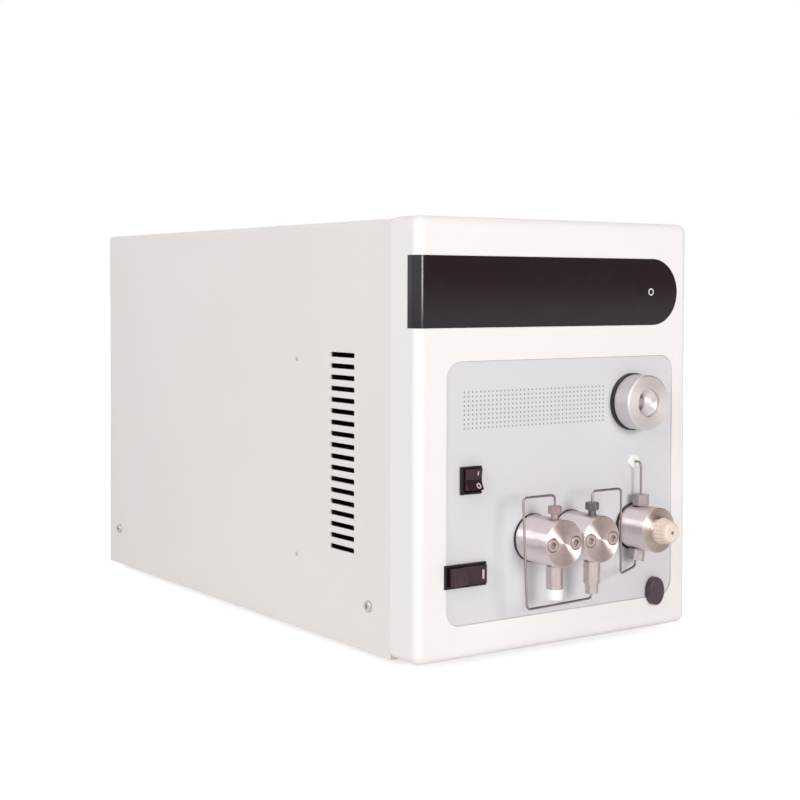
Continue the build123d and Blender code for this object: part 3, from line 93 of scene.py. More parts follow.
class Graph:
    """Adds nodes to one node tree and links them."""

    def __init__(self, tree: NodeTree) -> None:
        """Keeps the tree."""
        self.tree = tree

    def add(self, kind: str, inputs: Optional[Dict[Any, Any]] = None, **settings: Any) -> Node:
        """Adds one node.

        Args:
            kind: Blender's node type, without the ShaderNode prefix where it has one.
            inputs: Values or sockets by input name or index.
            **settings: Properties set on the node.

        Returns:
            The new node.
        """
        node = self.tree.nodes.new(kind if kind.startswith("NodeGroup") else "ShaderNode" + kind)
        for name, value in settings.items():
            setattr(node, name, value)
        for key, value in (inputs or {}).items():
            self.put(node.inputs[key], value)
        return node

    def put(self, socket: Socket, value: Any) -> None:
        """Links a socket or sets a plain value.

        Args:
            socket: The input to fill.
            value: A socket to link, or a number, colour or vector.
        """
        if isinstance(value, Socket):
            self.tree.links.new(value, socket)
        elif socket.type == "RGBA" and len(value) == 3:
            socket.default_value = (*value, 1.0)
        else:
            socket.default_value = value

    def math(self, operation: str, *values: Any) -> Socket:
        """Adds a Math node on up to three numbers or sockets and returns its result."""
        return self.add("Math", dict(enumerate(values)), operation=operation).outputs[0]

    def vector(self, operation: str, *values: Any) -> Socket:
        """Adds a Vector Math node and returns its vector result."""
        return self.add("VectorMath", dict(enumerate(values)), operation=operation).outputs[0]

    def spread(self, value: Any, low: Any, high: Any, first: Any = 0.0, last: Any = 1.0) -> Socket:
        """Maps one range onto another and clamps it.

        Args:
            value: Number socket to map.
            low: Start of the source range.
            high: End of the source range.
            first: Result at the start.
            last: Result at the end.

        Returns:
            The mapped socket.
        """
        return self.add("MapRange", {0: value, 1: low, 2: high, 3: first, 4: last}, clamp=True).outputs[0]

    def blend(self, factor: Any, first: Any, second: Any, how: str = "MIX") -> Socket:
        """Mixes two colours.

        Args:
            factor: Share of the second colour.
            first: First colour or socket.
            second: Second colour or socket.
            how: Blend type.

        Returns:
            The mixed colour.
        """
        inputs = {0: factor, 6: first, 7: second}
        return self.add("Mix", inputs, data_type="RGBA", blend_type=how).outputs[2]

    def noise(self, place: Any, scale: Any, detail: float = 2.0, roughness: float = 0.5) -> Socket:
        """Adds a Noise texture and returns its value.

        Args:
            place: Vector to read it at.
            scale: Cells per metre.
            detail: Octaves.
            roughness: Weight of the finer octaves.

        Returns:
            The noise value, about 0.5 on average.
        """
        inputs = {"Vector": place, "Scale": scale, "Detail": detail, "Roughness": roughness}
        return self.add("TexNoise", inputs).outputs[0]

    def place(self) -> Socket:
        """Returns the point in the object's own frame."""
        return self.add("TexCoord").outputs["Object"]

    def facing(self) -> Sequence[Socket]:
        """Returns the X, Y and Z of the surface normal in the object's own frame."""
        normal = self.add("TexCoord").outputs["Normal"]
        return self.add("SeparateXYZ", {0: normal}).outputs


class GroupShelf:
    """Builds each shared shader group once and hands it out by name."""

    fine_ratio = 3.7
    fine_share = 0.3
    slow_ratio = 0.13
    slow_row = 3.7
    front_limit = -0.9
    cell_middle = (0.5, 0.5, 0.5)
    front_axes = (1.0, 0.0, 1.0)
    edge_samples = 4

    def __init__(self) -> None:
        """Starts with no group made."""
        self.made: Dict[str, NodeTree] = {}

    def start(self, name: str, inputs: Dict[str, Any], outputs: Dict[str, str]) -> Tuple[Graph, Any]:
        """Makes an empty group with named sockets.

        Args:
            name: Name of the group.
            inputs: Default value of each input by its name.
            outputs: Float, Color or Vector by output name.

        Returns:
            A graph on the group, and the outputs of its input node.
        """
        tree = bpy.data.node_groups.new(name, "ShaderNodeTree")
        for label, default in inputs.items():
            kind = "Float" if isinstance(default, float) else "Vector" if len(default) == 3 else "Color"
            socket = tree.interface.new_socket(label, in_out="INPUT", socket_type="NodeSocket" + kind)
            socket.default_value = default
        for label, kind in outputs.items():
            tree.interface.new_socket(label, in_out="OUTPUT", socket_type="NodeSocket" + kind)
        self.made[name] = tree
        graph = Graph(tree)
        return graph, graph.add("NodeGroupInput").outputs

    @staticmethod
    def close(graph: Graph, results: Dict[str, Any]) -> NodeTree:
        """Links a group's results.

        Args:
            graph: The group's graph.
            results: Socket by output name.

        Returns:
            The group.
        """
        graph.add("NodeGroupOutput", results)
        return graph.tree

    def use(self, graph: Graph, name: str, inputs: Optional[Dict[str, Any]] = None) -> Any:
        """Places a shared group in a material.

        Args:
            graph: The material's graph.
            name: Group name in lower case, as the method that makes it.
            inputs: Values or sockets by input name.

        Returns:
            The outputs of the group's node.
        """
        tree = self.made.get(name) or getattr(self, name)()
        node = graph.add("Group", node_tree=tree)
        for key, value in (inputs or {}).items():
            graph.put(node.inputs[key], value)
        return node.outputs

    def coat_grain(self) -> NodeTree:
        """Orange peel and fine speckle of a baked coat, with a slow drift of tone.

        Returns:
            The group.
        """
        outputs = {"Height": "Float", "Drift": "Float", "Speckle": "Float"}
        graph, given = self.start("coat_grain", {"Peel": 700.0, "Drift Size": 5.0}, outputs)
        place = graph.place()
        peel = graph.noise(place, scale=given["Peel"], detail=2.0, roughness=0.55)
        fine = graph.noise(place, scale=graph.math("MULTIPLY", given["Peel"], self.fine_ratio), detail=1.0)
        coarse = graph.math("MULTIPLY", peel, 1.0 - self.fine_share)
        height = graph.math("MULTIPLY_ADD", fine, self.fine_share, coarse)
        drift = graph.noise(place, scale=given["Drift Size"], detail=3.0)
        results = {
            "Height": height,
            "Drift": graph.spread(drift, low=0.32, high=0.68),
            "Speckle": graph.spread(fine, low=0.56, high=0.74),
        }
        return self.close(graph, results)

    def turned_rings(self) -> NodeTree:
        """Lathe marks round an axis that runs front to back, and a mask of the flat faces.

        Returns:
            The group.
        """
        outputs = {"Height": "Float", "Tone": "Float", "Face": "Float", "Radius": "Float"}
        inputs = {"Centre": (0.0, 0.0, 0.0), "Lines": 5000.0}
        graph, given = self.start("turned_rings", inputs, outputs)
        offset = graph.vector("SUBTRACT", graph.place(), given["Centre"])
        across, along, up = graph.add("SeparateXYZ", {0: offset}).outputs
        flat = graph.add("CombineXYZ", {0: across, 2: up}).outputs[0]
        radius = graph.add("VectorMath", {0: flat}, operation="LENGTH").outputs["Value"]
        face = graph.spread(graph.math("ABSOLUTE", graph.facing()[1]), low=0.5, high=0.8)
        run = graph.add("Mix", {0: face, 2: along, 3: radius}, data_type="FLOAT").outputs[0]
        step = graph.math("MULTIPLY", run, given["Lines"])
        fine = graph.noise(
            graph.add("CombineXYZ", {0: step}).outputs[0], scale=1.0, detail=4.0, roughness=0.7
        )
        slow_step = graph.math("MULTIPLY", step, self.slow_ratio)
        slow = graph.add("CombineXYZ", {0: slow_step, 1: self.slow_row}).outputs[0]
        results = {
            "Height": fine,
            "Tone": graph.spread(graph.noise(slow, scale=1.0, detail=2.0), low=0.35, high=0.65),
            "Face": face,
            "Radius": radius,
        }
        return self.close(graph, results)

    def drawn_lines(self) -> NodeTree:
        """Fine lines along one direction, with slow blotches of tone.

        Returns:
            The group.
        """
        inputs = {"Stretch": (2500.0, 60.0, 2500.0)}
        graph, given = self.start("drawn_lines", inputs, {"Height": "Float", "Tone": "Float"})
        place = graph.place()
        lines = graph.noise(
            graph.vector("MULTIPLY", place, given["Stretch"]), scale=1.0, detail=3.0, roughness=0.65
        )
        tone = graph.spread(graph.noise(place, scale=110.0, detail=3.0), low=0.3, high=0.7)
        return self.close(graph, {"Height": lines, "Tone": tone})

    def settled_dust(self) -> NodeTree:
        """Mask of thin dust on surfaces that face up.

        Returns:
            The group.
        """
        graph, given = self.start("settled_dust", {"Amount": 0.3}, {"Mask": "Float"})
        up = graph.spread(graph.facing()[2], low=0.55, high=1.0)
        motes = graph.spread(
            graph.noise(graph.place(), scale=38.0, detail=6.0, roughness=0.7), low=0.35, high=0.75
        )
        mask = graph.math("MULTIPLY", graph.math("MULTIPLY", up, motes), given["Amount"])
        return self.close(graph, {"Mask": mask})

    def touch_marks(self) -> NodeTree:
        """Faint smears and sparse hairline scratches of a handled gloss surface.

        Returns:
            The group.
        """
        outputs = {"Smear": "Float", "Hairline": "Float"}
        graph, given = self.start("touch_marks", {"Smear Size": 26.0}, outputs)
        place = graph.place()
        smear = graph.noise(place, scale=given["Smear Size"], detail=5.0, roughness=0.65)
        cells = graph.add("TexVoronoi", {"Vector": place, "Scale": 70.0}, feature="DISTANCE_TO_EDGE")
        hair = graph.spread(cells.outputs["Distance"], low=0.0, high=0.007, first=1.0, last=0.0)
        sparse = graph.spread(smear, low=0.52, high=0.64)
        results = {
            "Smear": graph.spread(smear, low=0.36, high=0.7),
            "Hairline": graph.math("MULTIPLY", hair, sparse),
        }
        return self.close(graph, results)

    def soft_grain(self) -> NodeTree:
        """Fine moulded grain of rubber and plastics, with a slow drift of tone.

        Returns:
            The group.
        """
        graph, given = self.start("soft_grain", {"Grain": 1800.0}, {"Height": "Float", "Drift": "Float"})
        place = graph.place()
        grain = graph.noise(place, scale=given["Grain"], detail=3.0, roughness=0.6)
        drift = graph.spread(graph.noise(place, scale=45.0, detail=3.0), low=0.3, high=0.7)
        return self.close(graph, {"Height": grain, "Drift": drift})

    def eased_edges(self) -> NodeTree:
        """Normal with the sharp edges eased to a small radius, in metres.

        Returns:
            The group.
        """
        graph, given = self.start("eased_edges", {"Radius": 0.0003}, {"Normal": "Vector"})
        eased = graph.add("Bevel", {"Radius": given["Radius"]}, samples=self.edge_samples)
        return self.close(graph, {"Normal": eased.outputs[0]})

    def dot_field(self) -> NodeTree:
        """Mask of a printed field of round dots on the face that looks to the front.

        Returns:
            The group.
        """
        inputs = {
            "Corner": (0.0, 0.0, 0.0),
            "Pitch": (0.003, 1.0, 0.003),
            "Count": (10.0, 1.0, 10.0),
            "Dot": 0.0005,
        }
        graph, given = self.start("dot_field", inputs, {"Mask": "Float"})
        from_corner = graph.vector("SUBTRACT", graph.place(), given["Corner"])
        steps = graph.vector("DIVIDE", from_corner, given["Pitch"])
        within = graph.vector("SUBTRACT", graph.vector("FRACTION", steps), self.cell_middle)
        offset = graph.vector("MULTIPLY", within, given["Pitch"])
        offset = graph.vector("MULTIPLY", offset, self.front_axes)
        reach = graph.add("VectorMath", {0: offset}, operation="LENGTH").outputs["Value"]
        dot = graph.spread(
            graph.math("DIVIDE", reach, given["Dot"]), low=0.75, high=1.2, first=1.0, last=0.0
        )
        front = graph.math("LESS_THAN", graph.facing()[1], self.front_limit)
        mask = graph.math("MULTIPLY", dot, front)
        parts = graph.add("SeparateXYZ", {0: steps}).outputs
        limits = graph.add("SeparateXYZ", {0: given["Count"]}).outputs
        for index in (0, 2):
            above = graph.math("GREATER_THAN", parts[index], 0.0)
            below = graph.math("LESS_THAN", parts[index], limits[index])
            mask = graph.math("MULTIPLY", mask, graph.math("MULTIPLY", above, below))
        return self.close(graph, {"Mask": mask})

    def tone_shift(self) -> NodeTree:
        """A colour made a little darker by one mask and dusty by another.

        Returns:
            The group.
        """
        inputs = {
            "Colour": (0.8, 0.8, 0.8, 1.0),
            "Shade": 0.0,
            "Depth": 0.05,
            "Dust": 0.0,
            "Dust Colour": (0.6, 0.57, 0.53, 1.0),
        }
        graph, given = self.start("tone_shift", inputs, {"Colour": "Color"})
        darker = graph.math("MULTIPLY", given["Shade"], given["Depth"])
        toned = graph.blend(darker, given["Colour"], (0.0, 0.0, 0.0))
        return self.close(graph, {"Colour": graph.blend(given["Dust"], toned, given["Dust Colour"])})


SHELF = GroupShelf()
WHITE: Colour = (1.0, 1.0, 1.0)


@dataclass(frozen=True)
class Finish:
    """A surface finish: its plain shader values, and a surface that its kind adds."""

    name: str
    colour: Colour
    roughness: float = 0.4
    bump: float = 0.05
    depth: float = 0.04
    eased: float = 0.15

    metallic = 0.0
    bump_distance = 0.00005
    smoother = 0.05
    rougher = 0.06

    def make(self) -> Material:
        """Builds the material.

        Returns:
            The finished material.
        """
        material = bpy.data.materials.new(self.name)
        material.use_nodes = True
        material.node_tree.nodes.clear()
        graph = Graph(material.node_tree)
        shader = graph.add("BsdfPrincipled")
        graph.put(graph.add("OutputMaterial").inputs["Surface"], shader.outputs[0])
        shader.inputs["Metallic"].default_value = self.metallic
        self.surface(graph, shader)
        return material

    def surface(self, graph: Graph, shader: Node) -> None:
        """Links the kind's own colour, roughness and relief.

        Args:
            graph: The material's graph.
            shader: The material's Principled BSDF.
        """
        raise NotImplementedError

    def relief(self, graph: Graph, shader: Node, height: Socket) -> None:
        """Feeds the normal from a height on eased edges.

        Args:
            graph: The material's graph.
            shader: The material's Principled BSDF.
            height: Height of the fine relief, 0 to 1.
        """
        eased = SHELF.use(graph, "eased_edges", {"Radius": self.eased * MM})["Normal"]
        inputs = {"Strength": self.bump, "Distance": self.bump_distance, "Height": height, "Normal": eased}
        graph.put(shader.inputs["Normal"], graph.add("Bump", inputs).outputs[0])

    def toned(self, graph: Graph, colour: Any, shade: Socket, dust: Any = 0.0) -> Socket:
        """Shades a colour by a mask and lays dust on it.

        Args:
            graph: The material's graph.
            colour: Colour or socket.
            shade: Mask of the darker patches.
            dust: Mask of the dust.

        Returns:
            The colour socket.
        """
        colour = colour if isinstance(colour, Socket) else (*colour, 1.0)
        inputs = {"Colour": colour, "Shade": shade, "Depth": self.depth, "Dust": dust}
        return SHELF.use(graph, "tone_shift", inputs)["Colour"]


@dataclass(frozen=True)
class CoatFinish(Finish):
    """Baked enamel on sheet or moulding."""

    peel: float = 700.0
    dust: float = 0.12

    dust_roughness = 0.5

    def colour_of(self, graph: Graph) -> Any:
        """Returns the coat's colour before tone and dust."""
        return self.colour

    def surface(self, graph: Graph, shader: Node) -> None:
        """Links orange peel, speckle, drift of tone and dust.

        Args:
            graph: The material's graph.
            shader: The material's Principled BSDF.
        """
        grain = SHELF.use(graph, "coat_grain", {"Peel": self.peel})
        dust = SHELF.use(graph, "settled_dust", {"Amount": self.dust})["Mask"]
        shade = graph.math("MAXIMUM", grain["Drift"], grain["Speckle"])
        graph.put(shader.inputs["Base Color"], self.toned(graph, self.colour_of(graph), shade, dust))
        low, high = self.roughness - self.smoother, self.roughness + self.rougher
        rough = graph.spread(grain["Drift"], low=0.0, high=1.0, first=low, last=high)
        rough = graph.math("MULTIPLY_ADD", dust, self.dust_roughness, rough)
        graph.put(shader.inputs["Roughness"], rough)
        self.relief(graph, shader, grain["Height"])


@dataclass(frozen=True)
class PrintedCoat(CoatFinish):
    """Enamel with a screen-printed field of dots."""

    corner: Triple = (0.0, 0.0, 0.0)
    pitch: Triple = (0.003, 1.0, 0.003)
    count: Triple = (1.0, 1.0, 1.0)
    dot: float = 0.5
    ink: Colour = (0.2, 0.2, 0.2)

    def colour_of(self, graph: Graph) -> Any:
        """Prints the ink on the coat's colour.

        Args:
            graph: The material's graph.

        Returns:
            The colour socket, before tone and dust.
        """
        inputs = {"Corner": self.corner, "Pitch": self.pitch, "Count": self.count, "Dot": self.dot * MM}
        mask = SHELF.use(graph, "dot_field", inputs)["Mask"]
        return graph.blend(mask, self.colour, self.ink)


@dataclass(frozen=True)
class GlossFinish(Finish):
    """Smooth moulding, acrylic or ceramic that is handled."""

    smear: float = 0.1
    coat: float = 0.0
    shine: float = 0.5

    dust = 0.15
    hairline_roughness = 0.2

    def surface(self, graph: Graph, shader: Node) -> None:
        """Links smears, hairlines and a little dust.

        Args:
            graph: The material's graph.
            shader: The material's Principled BSDF.
        """
        marks = SHELF.use(graph, "touch_marks")
        dust = SHELF.use(graph, "settled_dust", {"Amount": self.dust})["Mask"]
        graph.put(shader.inputs["Base Color"], self.toned(graph, self.colour, marks["Smear"], dust))
        rough = graph.math("MULTIPLY_ADD", marks["Smear"], self.smear, self.roughness)
        rough = graph.math("MULTIPLY_ADD", marks["Hairline"], self.hairline_roughness, rough)
        graph.put(shader.inputs["Roughness"], rough)
        shader.inputs["Coat Weight"].default_value = self.coat
        shader.inputs["Specular IOR Level"].default_value = self.shine
        self.relief(graph, shader, marks["Smear"])


@dataclass(frozen=True)
class SoftFinish(Finish):
    """Moulded rubber or engineering plastic with a fine grain."""

    grain: float = 1800.0
    glow: float = 0.0

    rougher = 0.07
    dust = 0.2

    def surface(self, graph: Graph, shader: Node) -> None:
        """Links grain, drift of tone and dust.

        Args:
            graph: The material's graph.
            shader: The material's Principled BSDF.
        """
        soft = SHELF.use(graph, "soft_grain", {"Grain": self.grain})
        dust = SHELF.use(graph, "settled_dust", {"Amount": self.dust})["Mask"]
        graph.put(shader.inputs["Base Color"], self.toned(graph, self.colour, soft["Drift"], dust))
        low, high = self.roughness - self.smoother, self.roughness + self.rougher
        graph.put(
            shader.inputs["Roughness"], graph.spread(soft["Drift"], low=0.0, high=1.0, first=low, last=high)
        )
        shader.inputs["Subsurface Weight"].default_value = self.glow
        shader.inputs["Subsurface Scale"].default_value = MM
        self.relief(graph, shader, soft["Height"])


@dataclass(frozen=True)
class DrawnFinish(Finish):
    """Machined, drawn or plated metal with lines along one direction."""

    stretch: Triple = (60.0, 2500.0, 2500.0)

    metallic = 1.0
    bump_distance = 0.00002
    line_roughness = 0.12
    blotch_roughness = 0.05

    def surface(self, graph: Graph, shader: Node) -> None:
        """Links drawn lines and blotches of tone.

        Args:
            graph: The material's graph.
            shader: The material's Principled BSDF.
        """
        lines = SHELF.use(graph, "drawn_lines", {"Stretch": self.stretch})
        graph.put(shader.inputs["Base Color"], self.toned(graph, self.colour, lines["Tone"]))
        base = self.roughness - self.line_roughness / 2
        rough = graph.math("MULTIPLY_ADD", lines["Height"], self.line_roughness, base)
        rough = graph.math("MULTIPLY_ADD", lines["Tone"], self.blotch_roughness, rough)
        graph.put(shader.inputs["Roughness"], rough)
        self.relief(graph, shader, lines["Height"])


@dataclass(frozen=True)
class UprightFinish(DrawnFinish):
    """Machined metal of an upright fitting, with its lines upright."""

    eased: float = 0.2
    stretch: Triple = (2500.0, 2500.0, 60.0)


@dataclass(frozen=True)
class TurnedFinish(Finish):
    """Metal turned on a lathe: rings on its faces, and a glint that fans out from the middle."""

    roughness: float = 0.38
    depth: float = 0.06
    eased: float = 0.2
    # Colour painted on the flat faces, set apart from the sides' colour as painted light and shade.
    face: Colour = (0.6, 0.6, 0.6)
    centre: Triple = (0.0, 0.0, 0.0)
    lines: float = 9000.0
    glint: float = 1.0

    metallic = 1.0
    bump_distance = 0.000004
    ring_roughness = 0.06
    quarter_turn = 0.25

    def surface(self, graph: Graph, shader: Node) -> None:
        """Links rings, painted light and shade that gives the flat faces a colour apart from the sides, and
        the direction of the glint.

        Args:
            graph: The material's graph.
            shader: The material's Principled BSDF.
        """
        rings = SHELF.use(graph, "turned_rings", {"Centre": self.centre, "Lines": self.lines})
        # Painted light and shade: the flat faces take the face colour and the turned sides the plain colour,
        # one metal made darker or lighter by how the light falls on each.
        colour = graph.blend(rings["Face"], self.colour, self.face)
        graph.put(shader.inputs["Base Color"], self.toned(graph, colour, rings["Tone"]))
        base = self.roughness - self.ring_roughness / 2
        rough = graph.math("MULTIPLY_ADD", rings["Tone"], self.ring_roughness, base)
        graph.put(shader.inputs["Roughness"], rough)
        shader.inputs["Anisotropic"].default_value = self.glint
        shader.inputs["Anisotropic Rotation"].default_value = self.quarter_turn
        tangent = graph.add("Tangent", direction_type="RADIAL", axis="Y")
        graph.put(shader.inputs["Tangent"], tangent.outputs[0])
        self.relief(graph, shader, rings["Height"])


@dataclass(frozen=True)
class BoardFinish(Finish):
    """Circuit board: solder resist over copper tracks."""

    copper: Colour = (0.1, 0.3, 0.12)

    rougher = 0.08
    tracks_scale = 260.0
    track_width = 0.06
    weave = 900.0

    def surface(self, graph: Graph, shader: Node) -> None:
        """Links tracks, weave and drift of tone.

        Args:
            graph: The material's graph.
            shader: The material's Principled BSDF.
        """
        place = graph.place()
        layout = {"Vector": place, "Scale": self.tracks_scale, "Mortar Size": self.track_width}
        blocks = graph.add("TexBrick", layout)
        soft = SHELF.use(graph, "soft_grain", {"Grain": self.weave})
        tracks = graph.blend(blocks.outputs["Fac"], self.colour, self.copper)
        graph.put(shader.inputs["Base Color"], self.toned(graph, tracks, soft["Drift"]))
        low, high = self.roughness - self.smoother, self.roughness + self.rougher
        graph.put(
            shader.inputs["Roughness"], graph.spread(soft["Drift"], low=0.0, high=1.0, first=low, last=high)
        )
        self.relief(graph, shader, blocks.outputs["Fac"])


def wear(node: str, material: Material) -> None:
    """Gives a CAD node a material.

    Args:
        node: The node's name.
        material: The material for all its faces.
    """
    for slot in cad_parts[node].material_slots:
        slot.link = "OBJECT"
        slot.material = material


def middle(node: str) -> Triple:
    """Finds the middle of a CAD node's box.

    Args:
        node: The node's name.

    Returns:
        The middle, in metres.
    """
    low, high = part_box(node)
    centre = (low + high) / 2
    return (centre.x, centre.y, centre.z)


Outfit = List[Tuple[Finish, Sequence[str]]]


@dataclass
class SubAssembly:
    """A group of CAD nodes that one finish or several dress."""

    title: str

    def finishes(self) -> Outfit:
        """Returns each finish with the nodes that wear it."""
        raise NotImplementedError

    def details(self) -> List[Piece]:
        """Returns the pieces added to the CAD nodes; there are none unless a kind adds them."""
        return []

    def build(self) -> None:
        """Dresses the nodes, adds the details and reports each piece."""
        for finish, nodes in self.finishes():
            material = finish.make()
            for node in nodes:
                wear(node, material)
                LOG.info("%s: %s wears %s", self.title, node, finish.name)
        for piece in self.details():
            LOG.info("%s: added %s", self.title, piece.name)


@dataclass
class Casework(SubAssembly):
    """Cover, base, back, bezel, feet and their fasteners."""

    title: str = "casework"
    white: Colour = linear(240, 235, 232)
    front_white: Colour = linear(245, 242, 241)

    def finishes(self) -> Outfit:
        """Lists the enamels, rubber and screws.

        Returns:
            Each finish with the nodes that wear it.
        """
        sheet = CoatFinish("Sheet Enamel", self.white, roughness=0.42, bump=0.12, depth=0.03, eased=0.4)
        bezel = CoatFinish(
            "Bezel Enamel", self.front_white, roughness=0.36, bump=0.08, depth=0.02, eased=0.4, peel=500.0
        )
        rubber = SoftFinish("Foot Rubber", linear(38, 36, 38), roughness=0.75, bump=0.5, depth=0.2)
        screws = DrawnFinish("Zinc Screws", linear(214, 206, 204), roughness=0.32, bump=0.1, depth=0.12)
        return [
            (sheet, ("top_cover", "base_pan", "rear_panel")),
            (bezel, ("front_bezel",)),
            (rubber, ("feet",)),
            (screws, ("foot_screws", "cover_screws", "rear_screws", "bezel_screws", "cover_rivets")),
        ]


@dataclass
class DisplayBand(SubAssembly):
    """Wrap-round window with its status ring and the display behind it."""

    title: str = "display"

    def finishes(self) -> Outfit:
        """Lists acrylic, glass and light-guide finishes.

        Returns:
            Each finish with the nodes that wear it.
        """
        acrylic = GlossFinish(
            "Window Acrylic", linear(36, 28, 34), roughness=0.07, bump=0.02, depth=0.1, eased=0.3, smear=0.05
        )
        glass = GlossFinish("Display Glass", linear(62, 70, 62), roughness=0.12, bump=0.02, depth=0.15)
        guide = SoftFinish(
            "Light Guide", linear(228, 226, 230), roughness=0.35, bump=0.05, depth=0.05, glow=0.2
        )
        return [(acrylic, ("display_window",)), (glass, ("lcd_module",)), (guide, ("status_ring",))]


@dataclass
class FrontPlate(SubAssembly):
    """Grey plate with its printed field of dots, and the rubber plug in its corner."""

    title: str = "front plate"
    grey: Colour = linear(221, 220, 224)
    ink: Colour = linear(142, 142, 150)
    field_left: float = 13.0
    field_top: float = 18.5
    columns: int = 37
    rows: int = 9
    pitch_across: float = 3.35
    pitch_up: float = 2.95
    dot: float = 0.62

    def finishes(self) -> Outfit:
        """Lists the printed enamel and the plug's rubber.

        Returns:
            Each finish with the nodes that wear it.
        """
        low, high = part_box("front_plate")
        left = low.x + self.field_left * MM
        bottom = high.z - (self.field_top + self.rows * self.pitch_up) * MM
        printed = PrintedCoat(
            "Plate Enamel",
            self.grey,
            roughness=0.38,
            bump=0.06,
            depth=0.03,
            eased=0.3,
            peel=900.0,
            corner=(left, 0.0, bottom),
            pitch=(self.pitch_across * MM, 1.0, self.pitch_up * MM),
            count=(float(self.columns), 1.0, float(self.rows)),
            dot=self.dot,
            ink=self.ink,
        )
        plug = SoftFinish("Plug Rubber", linear(76, 58, 70), roughness=0.3, bump=0.15, depth=0.15, eased=0.4)
        return [(printed, ("front_plate",)), (plug, ("blanking_plug",))]


@dataclass
class PumpHeads(SubAssembly):
    """The two turned pump heads with their screws, seals, valves and plungers."""

    title: str = "pump heads"
    # Painted light and shade: the same steel is lighter on the turned sides and darker and warmer on the flat
    # faces, for how the light falls on them.
    side: Colour = linear(238, 227, 228)
    face: Colour = linear(220, 205, 200)

    def finishes(self) -> Outfit:
        """Lists turned, machined, sealing and ceramic finishes.

        Returns:
            Each finish with the nodes that wear it.
        """
        found: Outfit = []
        for node in ("primary_head", "secondary_head"):
            label = node.replace("_", " ").title() + " Steel"
            turned = TurnedFinish(label, self.side, face=self.face, centre=middle(node))
            found.append((turned, (node,)))
        machined = UprightFinish(
            "Machined Steel", linear(212, 198, 196), roughness=0.24, bump=0.15, depth=0.1
        )
        pinkish = UprightFinish("Warm Nut Steel", linear(176, 156, 159), roughness=0.34, bump=0.2, depth=0.15)
        dark = UprightFinish("Blackened Steel", linear(120, 118, 117), roughness=0.36, bump=0.3, depth=0.2)
        sockets = DrawnFinish(
            "Socket Screws", linear(206, 190, 188), roughness=0.26, bump=0.1, depth=0.12, eased=0.15
        )
        seal = SoftFinish(
            "White Fluoropolymer",
            linear(250, 250, 250),
            roughness=0.3,
            bump=0.08,
            depth=0.02,
            eased=0.25,
            glow=0.25,
        )
        gasket = SoftFinish("Gasket Rubber", linear(34, 30, 34), roughness=0.6, bump=0.3, depth=0.2)
        rod = GlossFinish("Ceramic Rod", linear(240, 239, 234), roughness=0.12, bump=0.02, depth=0.03)
        return found + [
            (machined, ("inlet_valve", "transfer_valve", "transfer_fitting")),
            (pinkish, ("primary_thumb_nut",)),
            (dark, ("secondary_thumb_nut",)),
            (sockets, ("head_screws",)),
            (seal, ("inlet_nut", "plunger_seals")),
            (gasket, ("head_gaskets",)),
            (rod, ("primary_plunger", "secondary_plunger")),
        ]


@dataclass
class PurgeValve(SubAssembly):
    """Purge body with its nuts, gasket and cream knob."""

    title: str = "purge valve"

    def finishes(self) -> Outfit:
        """Lists the turned body, its nuts, knob and gasket.

        Returns:
            Each finish with the nodes that wear it.
        """
        # Painted light and shade: the body's flat face is darker and warmer than its lighter turned side, for
        # how the light falls on them.
        turned = TurnedFinish(
            "Purge Body Steel", linear(238, 227, 228), face=linear(217, 204, 194), centre=middle("purge_body")
        )
        nuts = UprightFinish("Port Nut Steel", linear(172, 162, 163), roughness=0.22, bump=0.15, depth=0.15)
        knob = SoftFinish(
            "Cream Polymer",
            linear(238, 220, 208),
            roughness=0.42,
            bump=0.15,
            depth=0.05,
            eased=0.3,
            glow=0.15,
        )
        gasket = SoftFinish("Purge Gasket", linear(34, 30, 34), roughness=0.6, bump=0.3, depth=0.2)
        return [
            (turned, ("purge_body",)),
            (nuts, ("purge_nuts",)),
            (knob, ("purge_knob",)),
            (gasket, ("purge_gasket",)),
        ]


@dataclass
class InjectionValve(SubAssembly):
    """Injection knob, its rubber ring, the polished needle port and the valve behind."""

    title: str = "injection valve"

    def finishes(self) -> Outfit:
        """Lists the turned aluminium, chrome and rubber.

        Returns:
            Each finish with the nodes that wear it.
        """
        # Painted light: the knob's flat face is lighter than its turned side, though both are the same
        # aluminium.
        knob = TurnedFinish(
            "Turned Aluminium",
            linear(222, 217, 219),
            roughness=0.42,
            bump=0.2,
            depth=0.05,
            eased=0.25,
            face=linear(234, 228, 228),
            centre=middle("injector_knob"),
            glint=0.35,
        )
        chrome = TurnedFinish(
            "Polished Port",
            linear(242, 238, 238),
            roughness=0.3,
            depth=0.05,
            face=linear(242, 238, 238),
            centre=middle("needle_port"),
            glint=0.2,
        )
        ring = SoftFinish("Ring Rubber", linear(26, 22, 26), roughness=0.5, bump=0.3, depth=0.2)
        steel = DrawnFinish("Valve Steel", linear(198, 196, 196), roughness=0.3, bump=0.15, depth=0.12)
        return [
            (knob, ("injector_knob",)),
            (chrome, ("needle_port",)),
            (ring, ("injector_ring",)),
            (steel, ("injector_valve", "pressure_sensor")),
        ]


@dataclass
class Plumbing(SubAssembly):
    """Bent steel capillaries and the white grommet they leave by."""

    title: str = "plumbing"

    def finishes(self) -> Outfit:
        """Lists the tube steel and the grommet's polymer.

        Returns:
            Each finish with the nodes that wear it.
        """
        tube = DrawnFinish(
            "Capillary Steel", linear(160, 148, 150), roughness=0.3, bump=0.05, depth=0.15, eased=0.05
        )
        grommet = SoftFinish(
            "Grommet Polymer",
            linear(248, 247, 244),
            roughness=0.35,
            bump=0.08,
            depth=0.03,
            eased=0.3,
            glow=0.2,
        )
        tubes = ("primary_capillary", "secondary_capillary", "outlet_capillary", "transfer_capillary")
        return [(tube, tubes), (grommet, ("capillary_grommet",))]


class MarkShape(Enum):
    """The plain on and off signs of a switch."""

    BAR = "bar"
    RING = "ring"


